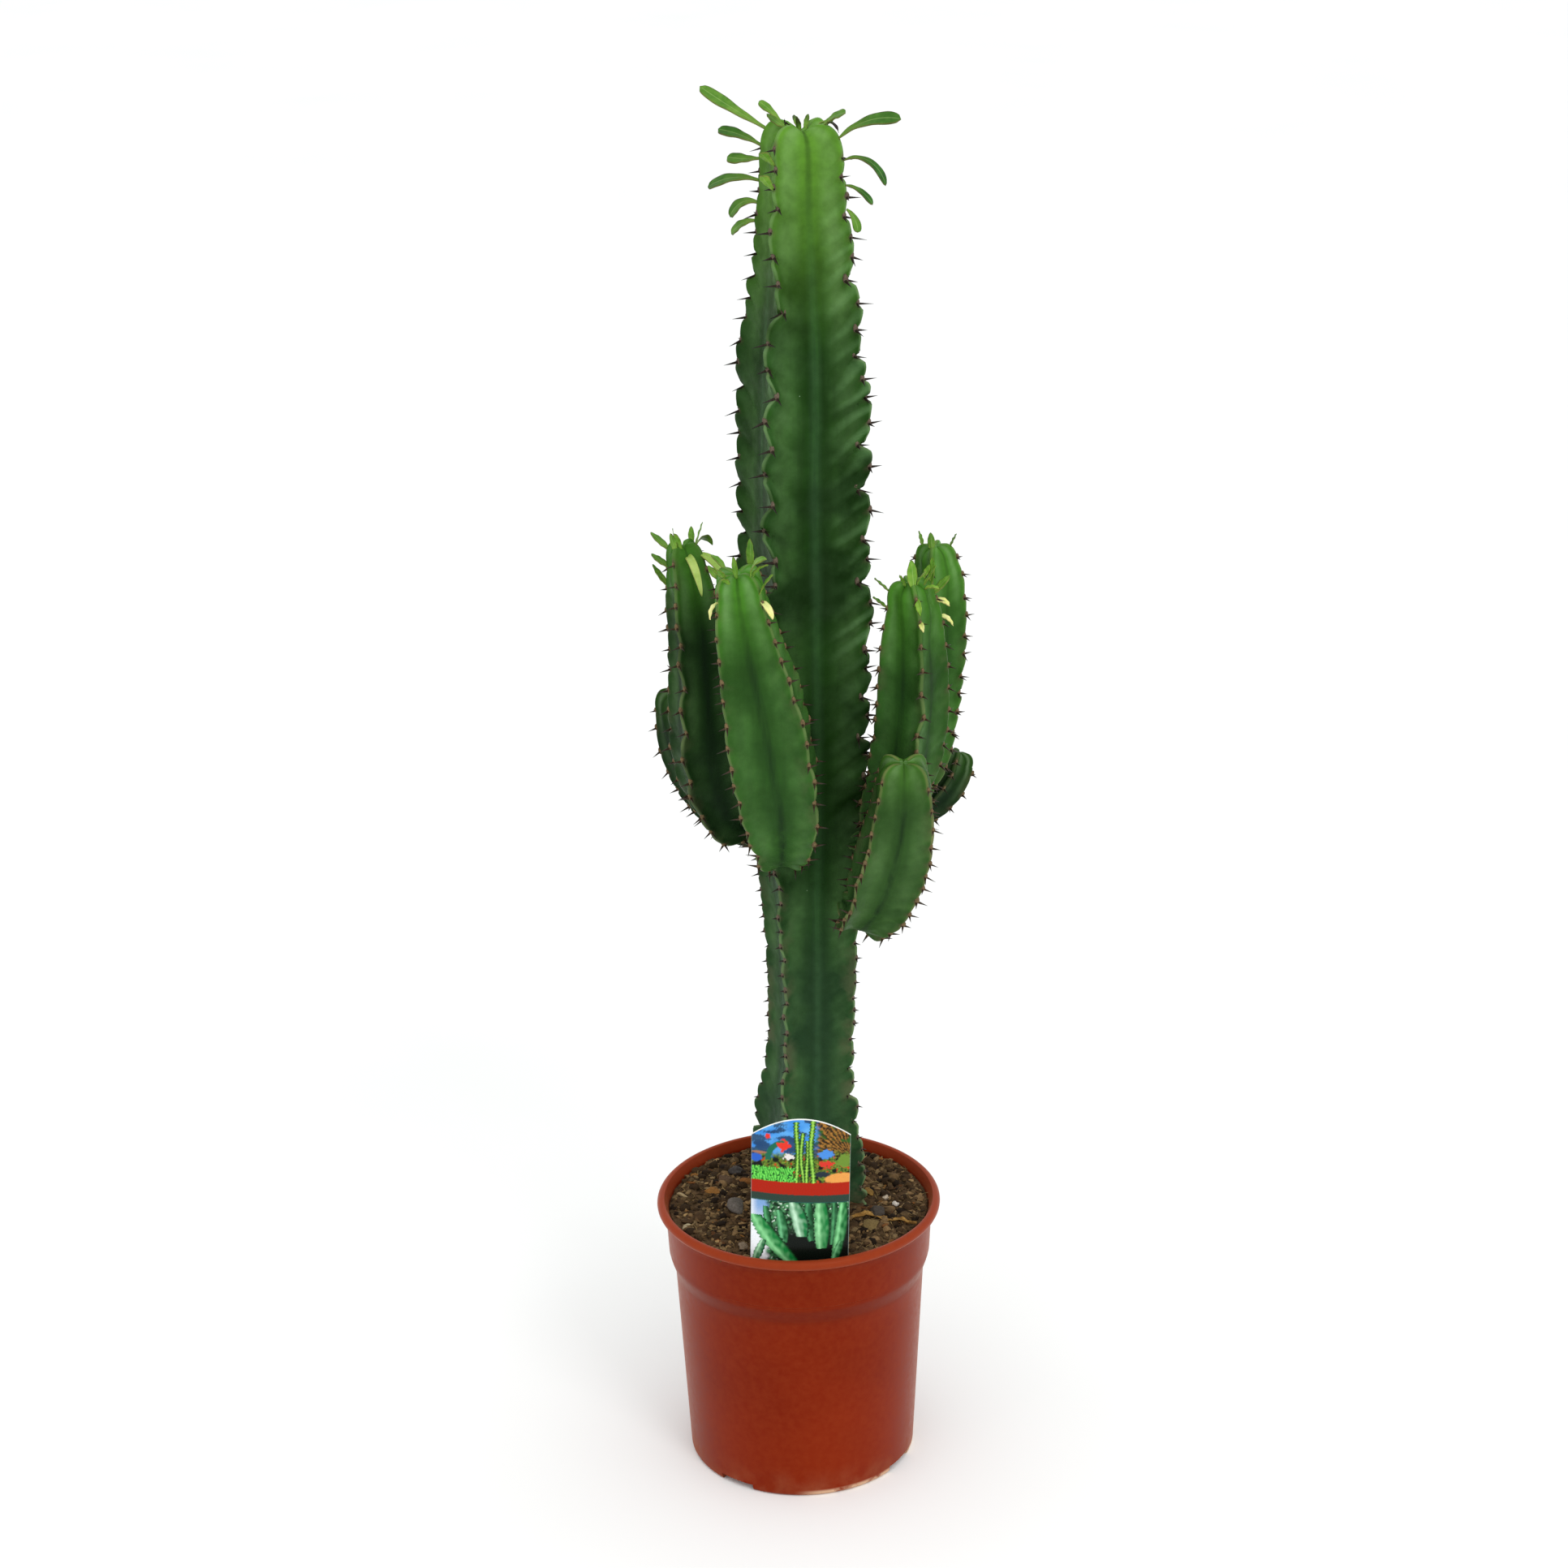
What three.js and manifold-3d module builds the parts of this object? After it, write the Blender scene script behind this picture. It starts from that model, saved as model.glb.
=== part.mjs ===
// A young four-ribbed tree euphorbia with seven side arms, in a round plastic nursery pot.
// Millimetres, +Z up. The origin is the centre of the pot's foot, on the surface it stands on.
// Bearings are degrees seen from above, from the front (-Y) round towards the right (+X).
import * as THREE from 'three';
import { mergeVertices } from 'three/addons/utils/BufferGeometryUtils.js';
import Module from 'manifold-3d';

const wasm = await Module();
wasm.setup();

// ---------------------------------------------------------------- driving dimensions

const GAP = 0.3; // left between pieces that touch

// Pot: a 17 cm nursery pot with a rolled lip, a straight collar under it and a tapered body.
const POT_HEIGHT = 168;
const LIP_RADIUS = 85;
const LIP_HEIGHT = 6;
const LIP_WIDTH = 5;
const COLLAR_HEIGHT = 30; // from the lip down
const COLLAR_TAPER = 1.8;
const STEP_HEIGHT = 10; // the sloping step from the collar in to the body
const BODY_TOP_RADIUS = 74.8;
const FOOT_RADIUS = 68.3;
const FOOT_ROUNDING = 2.5;
const POT_WALL = 1.8;
const POT_FLOOR = 2.4;
const POT_SIDES = 56;

// Underside: a centre pad and an outer ring at floor level, with a shallow channel between.
const PAD_RADIUS = 20;
const FOOT_RING_WIDTH = 12;
const CHANNEL_DEPTH = 2.4;
const DRAIN_HOLE_RADIUS = 5;
const DRAIN_HOLE_COUNT = 8;
const FOOT_NOTCH_WIDTH = 23;
const FOOT_NOTCH_HEIGHT = 4.2;
const FOOT_NOTCH_BEARINGS = [-36, 60, 146, 236];

// Soil: fills the pot to just under the lip, and rises a little round the trunk.
const SOIL_DROP = 4.5;
const SOIL_CROWN = 2;
const SOIL_CROWN_RADIUS = 50;
const SOIL_SIDES = 40;

// Label: a thin plastic plant tag with an arched top, pushed in at the front of the pot.
const LABEL_WIDTH = 57;
const LABEL_RISE = 88; // above the top of the pot, at the middle of the arch
const LABEL_SUNK = 18; // full-width part below the top of the pot
const LABEL_ARCH = 11.5;
const LABEL_THICKNESS = 0.8;
const LABEL_BOW_RADIUS = 110;
const LABEL_WALL_CLEARANCE = 1.2;
const LABEL_LEAN = 1.6; // degrees, to the right
const LABEL_STAKE_WIDTH = 16;
const LABEL_STAKE_LENGTH = 16;

// Trunk: each station is [lean x, lean y, height above the soil, rib reach, bearing of rib 0].
const TRUNK_ROOTED = 62;
const TRUNK_STATIONS = [
  [6.5, 14, -TRUNK_ROOTED, 27, -30],
  [6.5, 14, -8, 38, -30],
  [7, 13, 46, 36.5, -30],
  [7.5, 12.5, 70, 32, -31],
  [8.5, 12, 97, 29.4, -31],
  [9.5, 11, 149, 30.6, -32],
  [9, 10, 200, 34, -31],
  [9, 9, 245, 38, -30],
  [8.5, 8, 300, 41, -29],
  [8.5, 7, 360, 41.5, -28],
  [8.5, 6, 440, 41.5, -28],
  [9.5, 6, 502, 40.5, -27.5],
  [10, 5, 537, 37, -28],
  [10.5, 5, 581, 30.5, -31],
  [11, 5, 628, 27, -34],
];
const TRUNK_DOME = 18;

// Arms: each grows from a rib of the trunk at a height above the soil. Its stations are
// [x, y, z, rib reach] from that point of the rib's edge, and it bends in its heading.
const ARM_ROOT_SHARE = 0.4; // of the reach at the arm's first station
const ARM_SUNK = 9; // how far an arm's root starts inside the edge of the trunk's rib
const ARMS = [
  {
    name: 'arm_front_left', rib: 0, height: 229, heading: -4, ribBearing: -45, dome: 13,
    stations: [
      [3, -12, 14, 17], [4, -22, 30, 24], [3, -31, 52, 29], [-1, -36, 80, 31],
      [-6, -40, 113, 29], [-12, -42, 143, 24.5], [-16, -44, 169, 19.5], [-17, -45, 178, 17],
    ],
  },
  {
    name: 'arm_left', rib: 3, height: 238, heading: -60, ribBearing: -30, dome: 13,
    stations: [
      [-9, -14, 4, 15], [-17, -26, 16, 20], [-22, -34, 36, 23], [-25, -40, 62, 24],
      [-26, -42, 88, 22.5], [-27, -43, 118, 20.5], [-30, -44, 146, 17.5], [-33, -44, 168, 12.5],
    ],
  },
  {
    name: 'arm_rear_left', rib: 3, height: 221, heading: -112, ribBearing: -20, dome: 13,
    stations: [
      [-11, 4, 12, 14], [-23, 10, 24, 17], [-33, 15, 40, 18.5], [-39, 18, 58, 18.5],
      [-41, 19, 77, 17],
    ],
  },
  {
    name: 'arm_right', rib: 1, height: 234, heading: 80, ribBearing: 12, dome: 12,
    stations: [
      [8, 0, 6, 13], [14, -1, 20, 18], [21, -3, 42, 21], [26, -6, 72, 21.5],
      [28, -8, 97, 21], [28, -9, 119, 19.5], [28, -9, 140, 16.5], [27, -9, 151, 14],
    ],
  },
  {
    name: 'arm_lower_right', rib: 1, height: 197, heading: 28, ribBearing: -45, dome: 12,
    stations: [
      [1, -12, 0, 16], [4, -22, 5, 20], [11, -33, 22, 24], [17, -41, 42, 25.5],
      [22, -48, 64, 25], [24, -52, 86, 22], [24, -53, 97, 18.5],
    ],
  },
  {
    name: 'arm_rear_right', rib: 2, height: 236, heading: 92, ribBearing: 75, dome: 11,
    stations: [
      [14, 0, 2, 11], [33, 0, 6, 14], [45, 1, 24, 16], [52, 2, 49, 17], [56, 2, 79, 17],
      [58, 2, 108, 17], [58, 2, 138, 15.5], [57, 2, 150, 13],
    ],
  },
  {
    name: 'arm_low_rear_right', rib: 2, height: 206, heading: 108, ribBearing: 0, dome: 7,
    stations: [
      [18, 2, 12, 10], [36, 6, 20, 12], [51, 11, 29, 13.5], [61, 16, 38, 14],
      [67, 19, 47, 13.5], [69, 20, 52, 12],
    ],
  },
];

// Section of every stem: a four-pointed star, as shares of the rib's reach.
const RIBS = 4;
const MARGIN_HALF_THICKNESS = 1.6;
const FLANK_OUT = 0.68;
const FLANK_HALF_THICKNESS = 0.165;
const VALLEY_DEPTH = 0.4;
const RINGS_PER_STATION = 2;
const DOME_RINGS = 4;
const CROWN_DIP = 0.25; // of the dome's height, at the growing point

// Leaves: on a stem's rib, so far below the tip. Each is [rib, below the tip, length, rise,
// droop, width, roll]: rise is the angle it leaves the rib at, droop the angle it turns down by
// its tip, and roll the turn of its blade, all in degrees.
const LEAF_THICKNESS = 1.1;
const LEAF_ROWS = 8;
const LEAF_STALK_SHARE = 0.22; // of the blade's full width
const LEAF_STALK_GAP = 0.5;
const LEAVES = {
  trunk: [
    [3, 6, 48, 20, -6, 10, -20], [3, 15, 29, 21, 20, 9, -20], [3, 22, 22, -12, -15, 9, -25],
    [3, 34, 35, 8, 42, 9, -30], [3, 46, 22, 10, 80, 9, -40], [3, 56, 19, -5, 50, 8, -35],
    [0, 19, 15, 35, 0, 7, 20], [3, 1, 17, 40, 15, 6, -25], [0, 32, 15, 35, -10, 7, 20],
    [1, 7, 43, 42, 46, 9, 40], [1, 18, 33, 29, 105, 8, 35], [1, 31, 20, 0, 55, 6, 35],
    [1, 44, 14, -30, 60, 6, 40], [1, 1, 17, 48, 38, 8, 30],
  ],
  arm_front_left: [
    [2, 2, 16, 85, 5, 7, 20], [1, 2, 22, 82, 75, 7, 30], [1, 10, 19, 56, 15, 6, 30],
    [1, 14, 12, -15, 70, 5, 30], [3, 1, 12, 60, 60, 4, -20], [0, 1, 8, 60, 0, 5, 20],
    [3, 8, 9, 40, 0, 5, -20],
  ],
  arm_left: [
    [3, 4, 14, 45, 5, 5, -20], [3, 14, 12, 35, 0, 5, -20], [3, 25, 14, 55, -5, 5, -20],
    [0, 2, 11, 80, 0, 5, 20], [2, 3, 9, 75, 0, 5, 20], [1, 2, 16, 62, 0, 5, 30],
    [2, 7, 22, 40, 110, 6, -30], [1, 6, 32, -20, 75, 7, 40], [1, 37, 12, -20, 70, 5, 30],
  ],
  arm_right: [
    [0, 2, 16, 85, -5, 9, 20], [1, 5, 16, 78, -5, 6, 30], [1, 1, 9, 55, 0, 5, 20],
    [3, 5, 12, 50, 0, 4, -20], [3, 14, 11, 50, 5, 4, -20], [1, 10, 13, 42, 5, 6, 30],
    [0, 8, 10, -20, 60, 5, 30], [0, 21, 8, 10, 60, 4, 30], [1, 15, 9, 0, 70, 5, 30],
    [1, 23, 10, -15, 60, 5, 30],
  ],
  arm_rear_right: [
    [3, 1, 10, 85, -10, 6, 20], [2, 1, 9, 80, 0, 5, -20], [0, 2, 9, 60, 0, 5, 20],
  ],
};

// ---------------------------------------------------------------- sizes that follow

const LIP_BOTTOM = POT_HEIGHT - LIP_HEIGHT;
const COLLAR_TOP_RADIUS = LIP_RADIUS - LIP_WIDTH + 0.2;
const COLLAR_BOTTOM_RADIUS = COLLAR_TOP_RADIUS - COLLAR_TAPER;
const COLLAR_BOTTOM = LIP_BOTTOM - COLLAR_HEIGHT;
const STEP_BOTTOM = COLLAR_BOTTOM - STEP_HEIGHT;
const FLOOR_TOP = CHANNEL_DEPTH + POT_FLOOR;
const FOOT_EDGE = FOOT_RADIUS - FOOT_ROUNDING;
const SOIL_TOP = POT_HEIGHT - SOIL_DROP;

const radians = THREE.MathUtils.degToRad;
const bearing = (degrees) => new THREE.Vector3(
  Math.sin(radians(degrees)), -Math.cos(radians(degrees)), 0);

// The inner wall runs a wall's thickness inside the outer one, from the floor up to the lip.
const innerWall = [
  [FOOT_RADIUS - POT_WALL, FLOOR_TOP],
  [BODY_TOP_RADIUS - POT_WALL, STEP_BOTTOM],
  [COLLAR_BOTTOM_RADIUS - POT_WALL, COLLAR_BOTTOM],
  [COLLAR_TOP_RADIUS - POT_WALL, LIP_BOTTOM],
];

function innerRadius(height) {
  for (let i = 1; i < innerWall.length; i += 1) {
    const [r0, z0] = innerWall[i - 1];
    const [r1, z1] = innerWall[i];
    if (height <= z1) return r0 + ((r1 - r0) * (height - z0)) / (z1 - z0);
  }
  return innerWall[innerWall.length - 1][0];
}

// ---------------------------------------------------------------- solids and booleans

function solid(geometry) {
  const bare = geometry.clone();
  bare.deleteAttribute('normal');
  bare.deleteAttribute('uv');
  const merged = mergeVertices(bare, 1e-4);
  return new wasm.Manifold(new wasm.Mesh({
    numProp: 3,
    vertProperties: new Float32Array(merged.attributes.position.array),
    triVerts: new Uint32Array(merged.index.array),
  }));
}

function geometryOf(manifold) {
  const mesh = manifold.getMesh();
  const geometry = new THREE.BufferGeometry();
  geometry.setAttribute('position', new THREE.BufferAttribute(mesh.vertProperties, 3));
  geometry.setIndex(new THREE.BufferAttribute(mesh.triVerts, 1));
  return geometry;
}

// A solid of revolution about +Z. The profile goes up the outside and back down the inside.
function turned(profile, sides) {
  const points = profile.map(([radius, height]) => new THREE.Vector2(radius, height));
  return new THREE.LatheGeometry(points, sides).rotateX(Math.PI / 2);
}

function upright(shape, depth) {
  const options = { depth, bevelEnabled: false, curveSegments: 12 };
  return new THREE.ExtrudeGeometry(shape, options);
}

// ---------------------------------------------------------------- pot

function quarterRound(centreRadius, centreHeight, size, from, to, steps) {
  return Array.from({ length: steps + 1 }, (_, i) => {
    const angle = radians(from + ((to - from) * i) / steps);
    return [centreRadius + size * Math.cos(angle), centreHeight + size * Math.sin(angle)];
  });
}

function potGeometry() {
  const ringInner = FOOT_EDGE - FOOT_RING_WIDTH;
  const lipRound = LIP_HEIGHT / 2;
  const profile = [
    [0, 0],
    [PAD_RADIUS, 0],
    [PAD_RADIUS + CHANNEL_DEPTH, CHANNEL_DEPTH],
    [ringInner - CHANNEL_DEPTH, CHANNEL_DEPTH],
    [ringInner, 0],
    ...quarterRound(FOOT_EDGE, FOOT_ROUNDING, FOOT_ROUNDING, -90, 0, 3),
    [BODY_TOP_RADIUS, STEP_BOTTOM],
    [COLLAR_BOTTOM_RADIUS, COLLAR_BOTTOM],
    [COLLAR_TOP_RADIUS, LIP_BOTTOM],
    ...quarterRound(LIP_RADIUS - lipRound, LIP_BOTTOM + lipRound, lipRound, -70, 110, 6),
    ...[...innerWall].reverse(),
    [0, FLOOR_TOP],
  ];
  let pot = solid(turned(profile, POT_SIDES));

  const notchDepth = FOOT_RING_WIDTH + FOOT_ROUNDING + 10;
  for (const degrees of FOOT_NOTCH_BEARINGS) {
    const notch = new THREE.BoxGeometry(FOOT_NOTCH_WIDTH, notchDepth, 2 * FOOT_NOTCH_HEIGHT);
    notch.translate(0, -(ringInner - 1 + notchDepth / 2), 0).rotateZ(radians(degrees));
    pot = pot.subtract(solid(notch));
  }
  const holeCircle = (PAD_RADIUS + CHANNEL_DEPTH + ringInner - CHANNEL_DEPTH) / 2;
  for (let i = 0; i < DRAIN_HOLE_COUNT; i += 1) {
    const hole = new THREE.CylinderGeometry(
      DRAIN_HOLE_RADIUS, DRAIN_HOLE_RADIUS, 4 * FLOOR_TOP, 12).rotateX(Math.PI / 2);
    hole.translate(0, -holeCircle, 0).rotateZ((2 * Math.PI * (i + 0.5)) / DRAIN_HOLE_COUNT);
    pot = pot.subtract(solid(hole));
  }
  return geometryOf(pot);
}

// ---------------------------------------------------------------- stems

// A smooth stem through its stations. `at` gives its centre, frame, rib reach and rib bearing
// at any share of its way, and `shareBelow` the share at a distance down from its last station.
function stemThrough(stations, heading, dome) {
  const vector = ([x, y, z]) => new THREE.Vector3(x, y, z);
  const centre = new THREE.CatmullRomCurve3(stations.map(vector));
  const girth = new THREE.CatmullRomCurve3(
    stations.map(([, , , reach, ribBearing]) => new THREE.Vector3(reach, ribBearing, 0)));
  const side = bearing(heading + 90);
  const at = (share) => {
    const along = centre.getTangent(share);
    const out = new THREE.Vector3().crossVectors(side, along).normalize();
    const across = new THREE.Vector3().crossVectors(along, out).normalize();
    const { x: reach, y: ribBearing } = girth.getPoint(share);
    return { centre: centre.getPoint(share), along, out, across, reach, heading, ribBearing };
  };
  const shareBelow = (distance) => centre.getUtoTmapping(0, centre.getLength() - distance);
  return { at, shareBelow, dome, steps: (stations.length - 1) * RINGS_PER_STATION };
}

// Points of the star round one ring, each [out, across] from the rib, counted rib by rib.
function starSection(reach, grow, closing) {
  const margin = MARGIN_HALF_THICKNESS * closing;
  const flankOut = reach * FLANK_OUT;
  const flankHalf = reach * FLANK_HALF_THICKNESS;
  const valley = reach * VALLEY_DEPTH + grow;
  return [
    [reach + grow, -margin - grow],
    [reach + grow, margin + grow],
    [flankOut + grow, flankHalf + grow],
    [valley, valley],
    [flankHalf + grow, flankOut + grow],
  ];
}

function ringPoints(place, lift, reach, grow, closing) {
  const points = [];
  for (let rib = 0; rib < RIBS; rib += 1) {
    const turn = radians(place.ribBearing - place.heading + (360 / RIBS) * rib);
    for (const [out, across] of starSection(reach, grow, closing)) {
      const x = out * Math.cos(turn) - across * Math.sin(turn);
      const y = out * Math.sin(turn) + across * Math.cos(turn);
      points.push(place.centre.clone().addScaledVector(place.along, lift)
        .addScaledVector(place.out, x).addScaledVector(place.across, y));
    }
  }
  return points;
}

// How far the ribs still reach at a share of the dome's height.
const domeClosing = (rise) => (1 - rise ** 2) ** 0.3;

// The stem as a closed skin: the rings of a sphere, moved onto the rings of the stem.
function ribbedStem(stem, grow = 0) {
  const tip = stem.at(1);
  const root = stem.at(0);
  const rings = [];
  for (let i = DOME_RINGS - 1; i > 0; i -= 1) {
    const rise = Math.sin(radians((90 * i) / DOME_RINGS));
    const closing = domeClosing(rise);
    rings.push(ringPoints(tip, stem.dome * rise + grow, tip.reach * closing, grow, closing));
  }
  for (let i = stem.steps; i >= 0; i -= 1) {
    const place = stem.at(i / stem.steps);
    rings.push(ringPoints(place, i === 0 ? -grow : 0, place.reach, grow, 1));
  }
  const sides = RIBS * 5;
  const skin = new THREE.SphereGeometry(1, sides, rings.length + 1);
  const crown = tip.centre.clone()
    .addScaledVector(tip.along, stem.dome * (1 - CROWN_DIP) + grow);
  const heel = root.centre.clone().addScaledVector(root.along, -grow);
  for (let row = 0; row <= rings.length + 1; row += 1) {
    for (let column = 0; column <= sides; column += 1) {
      let point = crown;
      if (row > rings.length) point = heel;
      else if (row > 0) point = rings[row - 1][column % sides];
      skin.attributes.position.setXYZ(row * (sides + 1) + column, point.x, point.y, point.z);
    }
  }
  return skin;
}

const trunk = stemThrough(TRUNK_STATIONS.map(
  ([x, y, height, reach, ribBearing]) => [x, y, SOIL_TOP + height, reach, ribBearing],
), 0, TRUNK_DOME);

// The trunk's frame at a height above the soil, found by halving.
function trunkAt(height) {
  let [low, high] = [0, 1];
  for (let i = 0; i < 30; i += 1) {
    const middle = (low + high) / 2;
    if (trunk.at(middle).centre.z < SOIL_TOP + height) low = middle;
    else high = middle;
  }
  return trunk.at(low);
}

function ribEdge(place, rib, beyond = 0) {
  const turn = radians(place.ribBearing - place.heading + (360 / RIBS) * rib);
  const outward = place.out.clone().multiplyScalar(Math.cos(turn))
    .addScaledVector(place.across, Math.sin(turn));
  return { outward, point: place.centre.clone().addScaledVector(outward, place.reach + beyond) };
}

function armStem({ rib, height, heading, ribBearing, dome, stations }) {
  const place = trunkAt(height);
  const root = ribEdge(place, rib, -ARM_SUNK).point;
  const edge = ribEdge(place, rib).point;
  const rootReach = stations[0][3] * ARM_ROOT_SHARE;
  return stemThrough([
    [root.x, root.y, root.z, rootReach, ribBearing],
    ...stations.map(([x, y, z, reach]) => [
      edge.x + x, edge.y + y, edge.z + z, reach, ribBearing]),
  ], heading, dome);
}

const stems = { trunk };
for (const arm of ARMS) stems[arm.name] = armStem(arm);

// ---------------------------------------------------------------- leaves

// The stem's frame at a distance down from its very tip, on the dome or under it.
function placeBelowTip(stem, below) {
  if (below >= stem.dome) return stem.at(stem.shareBelow(below - stem.dome));
  const tip = stem.at(1);
  const rise = 1 - below / stem.dome;
  const centre = tip.centre.clone().addScaledVector(tip.along, stem.dome * rise);
  return { ...tip, centre, reach: tip.reach * domeClosing(rise) };
}

// Half the blade's width at a share of its length: a narrow stalk, then a rounded spoon.
function bladeHalfWidth(share, width) {
  const stalk = LEAF_STALK_SHARE * Math.min(1, 6 * share);
  const spoon = (1 - LEAF_STALK_SHARE) * Math.max(0, (share - 0.2) / 0.8);
  return (width / 2) * (stalk + spoon) * Math.sqrt(Math.max(0, 1 - share ** 6));
}

// A thin closed blade: the rings of a four-sided sphere, moved onto a line that bends down.
function leafGeometry(stem, [rib, below, length, rise, droop, width, roll]) {
  const place = placeBelowTip(stem, below);
  const { outward, point } = ribEdge(place, rib, LEAF_STALK_GAP);
  const side = new THREE.Vector3().crossVectors(outward, place.along).normalize();
  const skin = new THREE.SphereGeometry(1, 4, LEAF_ROWS);
  const stride = length / LEAF_ROWS;
  for (let row = LEAF_ROWS; row >= 0; row -= 1) {
    const share = 1 - row / LEAF_ROWS;
    const angle = radians(rise - droop * share);
    const ahead = outward.clone().multiplyScalar(Math.cos(angle))
      .addScaledVector(place.along, Math.sin(angle));
    const across = side.clone().applyAxisAngle(ahead, radians(roll));
    const face = new THREE.Vector3().crossVectors(across, ahead).normalize();
    const pole = row === 0 || row === LEAF_ROWS;
    const half = pole ? 0 : bladeHalfWidth(share, width);
    const thick = pole ? 0 : LEAF_THICKNESS / 2;
    for (let column = 0; column <= 4; column += 1) {
      const at = point.clone()
        .addScaledVector(across, [half, 0, -half, 0][column % 4])
        .addScaledVector(face, [0, -thick, 0, thick][column % 4]);
      skin.attributes.position.setXYZ(row * 5 + column, at.x, at.y, at.z);
    }
    point.addScaledVector(ahead, stride);
  }
  return skin;
}

// ---------------------------------------------------------------- label

// How far in front of the pot's axis the tag stands: its point and its lower corners both stay
// clear of the tapering wall.
function labelDistance() {
  const half = LABEL_WIDTH / 2;
  const bow = LABEL_BOW_RADIUS - Math.sqrt(LABEL_BOW_RADIUS ** 2 - half ** 2);
  const cornerHeight = POT_HEIGHT - LABEL_SUNK - half * Math.tan(radians(LABEL_LEAN));
  const atCorner = innerRadius(cornerHeight) - LABEL_WALL_CLEARANCE;
  const atPoint = innerRadius(cornerHeight - LABEL_STAKE_LENGTH) - LABEL_WALL_CLEARANCE;
  return Math.min(Math.sqrt(atCorner ** 2 - half ** 2) + bow, atPoint);
}

// The plant tag, standing bowed against the pot's inner wall. `grow` and `forward` make the
// slot that it needs in the soil, which is open towards the wall.
function labelSolid(grow = 0, forward = 0) {
  const half = LABEL_WIDTH / 2 + grow;
  const shoulder = LABEL_RISE - LABEL_ARCH;
  const outline = new THREE.Shape();
  outline.moveTo(-half, -LABEL_SUNK - grow);
  outline.lineTo(-LABEL_STAKE_WIDTH / 2 - grow, -LABEL_SUNK - 8 - grow);
  outline.lineTo(-3 - grow, -LABEL_SUNK - LABEL_STAKE_LENGTH - grow);
  outline.lineTo(3 + grow, -LABEL_SUNK - LABEL_STAKE_LENGTH - grow);
  outline.lineTo(LABEL_STAKE_WIDTH / 2 + grow, -LABEL_SUNK - 8 - grow);
  outline.lineTo(half, -LABEL_SUNK - grow);
  outline.lineTo(half, shoulder);
  outline.quadraticCurveTo(0, LABEL_RISE + LABEL_ARCH, -half, shoulder);
  const flat = upright(outline, 60).rotateX(Math.PI / 2).translate(0, 30, 0);

  const outer = LABEL_BOW_RADIUS + grow + forward;
  const inner = LABEL_BOW_RADIUS - LABEL_THICKNESS - grow;
  const sheet = new THREE.Shape();
  sheet.absarc(0, 0, outer, radians(-110), radians(-70), false);
  sheet.absarc(0, 0, inner, radians(-70), radians(-110), true);
  const bowed = upright(sheet, 240).translate(0, LABEL_BOW_RADIUS, -120);

  return solid(flat).intersect(solid(bowed))
    .rotate([0, LABEL_LEAN, 0]).translate([0, -labelDistance(), POT_HEIGHT]);
}

// ---------------------------------------------------------------- soil

function soilGeometry() {
  const wall = innerWall.map(([radius, height]) => [radius - GAP, height])
    .filter(([, height]) => height < SOIL_TOP);
  const profile = [
    [0, FLOOR_TOP + GAP],
    [wall[0][0], FLOOR_TOP + GAP],
    ...wall.slice(1),
    [innerRadius(SOIL_TOP) - GAP, SOIL_TOP],
    [SOIL_CROWN_RADIUS, SOIL_TOP + SOIL_CROWN],
    [0, SOIL_TOP + SOIL_CROWN],
  ];
  return geometryOf(solid(turned(profile, SOIL_SIDES))
    .subtract(solid(ribbedStem(trunk, GAP)))
    .subtract(labelSolid(GAP, LABEL_WIDTH / 4)));
}

// ---------------------------------------------------------------- the plant in its pot

const plastic = (color, roughness) => new THREE.MeshStandardMaterial({ color, roughness });
const TERRACOTTA = plastic(0x8a3018, 0.38);
const PEAT = plastic(0x46361f, 1);
const LABEL_PRINT = plastic(0x3f7a3a, 0.3);
const TRUNK_GREEN = plastic(0x2c4a20, 0.45);
const ARM_GREEN = plastic(0x3f6a2a, 0.45);
const LEAF_GREEN = plastic(0x6f9a35, 0.5);

const model = new THREE.Group();
function add(name, geometry, material) {
  const mesh = new THREE.Mesh(geometry, material);
  mesh.name = name;
  model.add(mesh);
}

add('pot', potGeometry(), TERRACOTTA);
add('soil', soilGeometry(), PEAT);
add('plant_label', geometryOf(labelSolid()), LABEL_PRINT);
add('trunk', ribbedStem(trunk), TRUNK_GREEN);

// Each arm is cut back from the trunk and from the arms before it, so that none overlap.
let grown = solid(ribbedStem(trunk, GAP));
for (const { name } of ARMS) {
  const stem = stems[name];
  add(name, geometryOf(solid(ribbedStem(stem)).subtract(grown)), ARM_GREEN);
  grown = grown.add(solid(ribbedStem(stem, GAP)));
}

for (const [stemName, leaves] of Object.entries(LEAVES)) {
  leaves.forEach((leaf, i) => {
    add(`leaf_${stemName}_${i + 1}`, leafGeometry(stems[stemName], leaf), LEAF_GREEN);
  });
}

export default model;
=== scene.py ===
"""A young four-ribbed tree euphorbia in a plastic nursery pot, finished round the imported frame.

Shapes are worked out in millimetres, with the frame's origin and axes, and each piece is scaled
to metres as it is finished. Bearings are degrees seen from above, from the front (-Y) round
towards the right (+X).
"""

import math
import random
from bisect import bisect_left

import bmesh
import bpy
from mathutils import Matrix, Vector, noise


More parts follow.
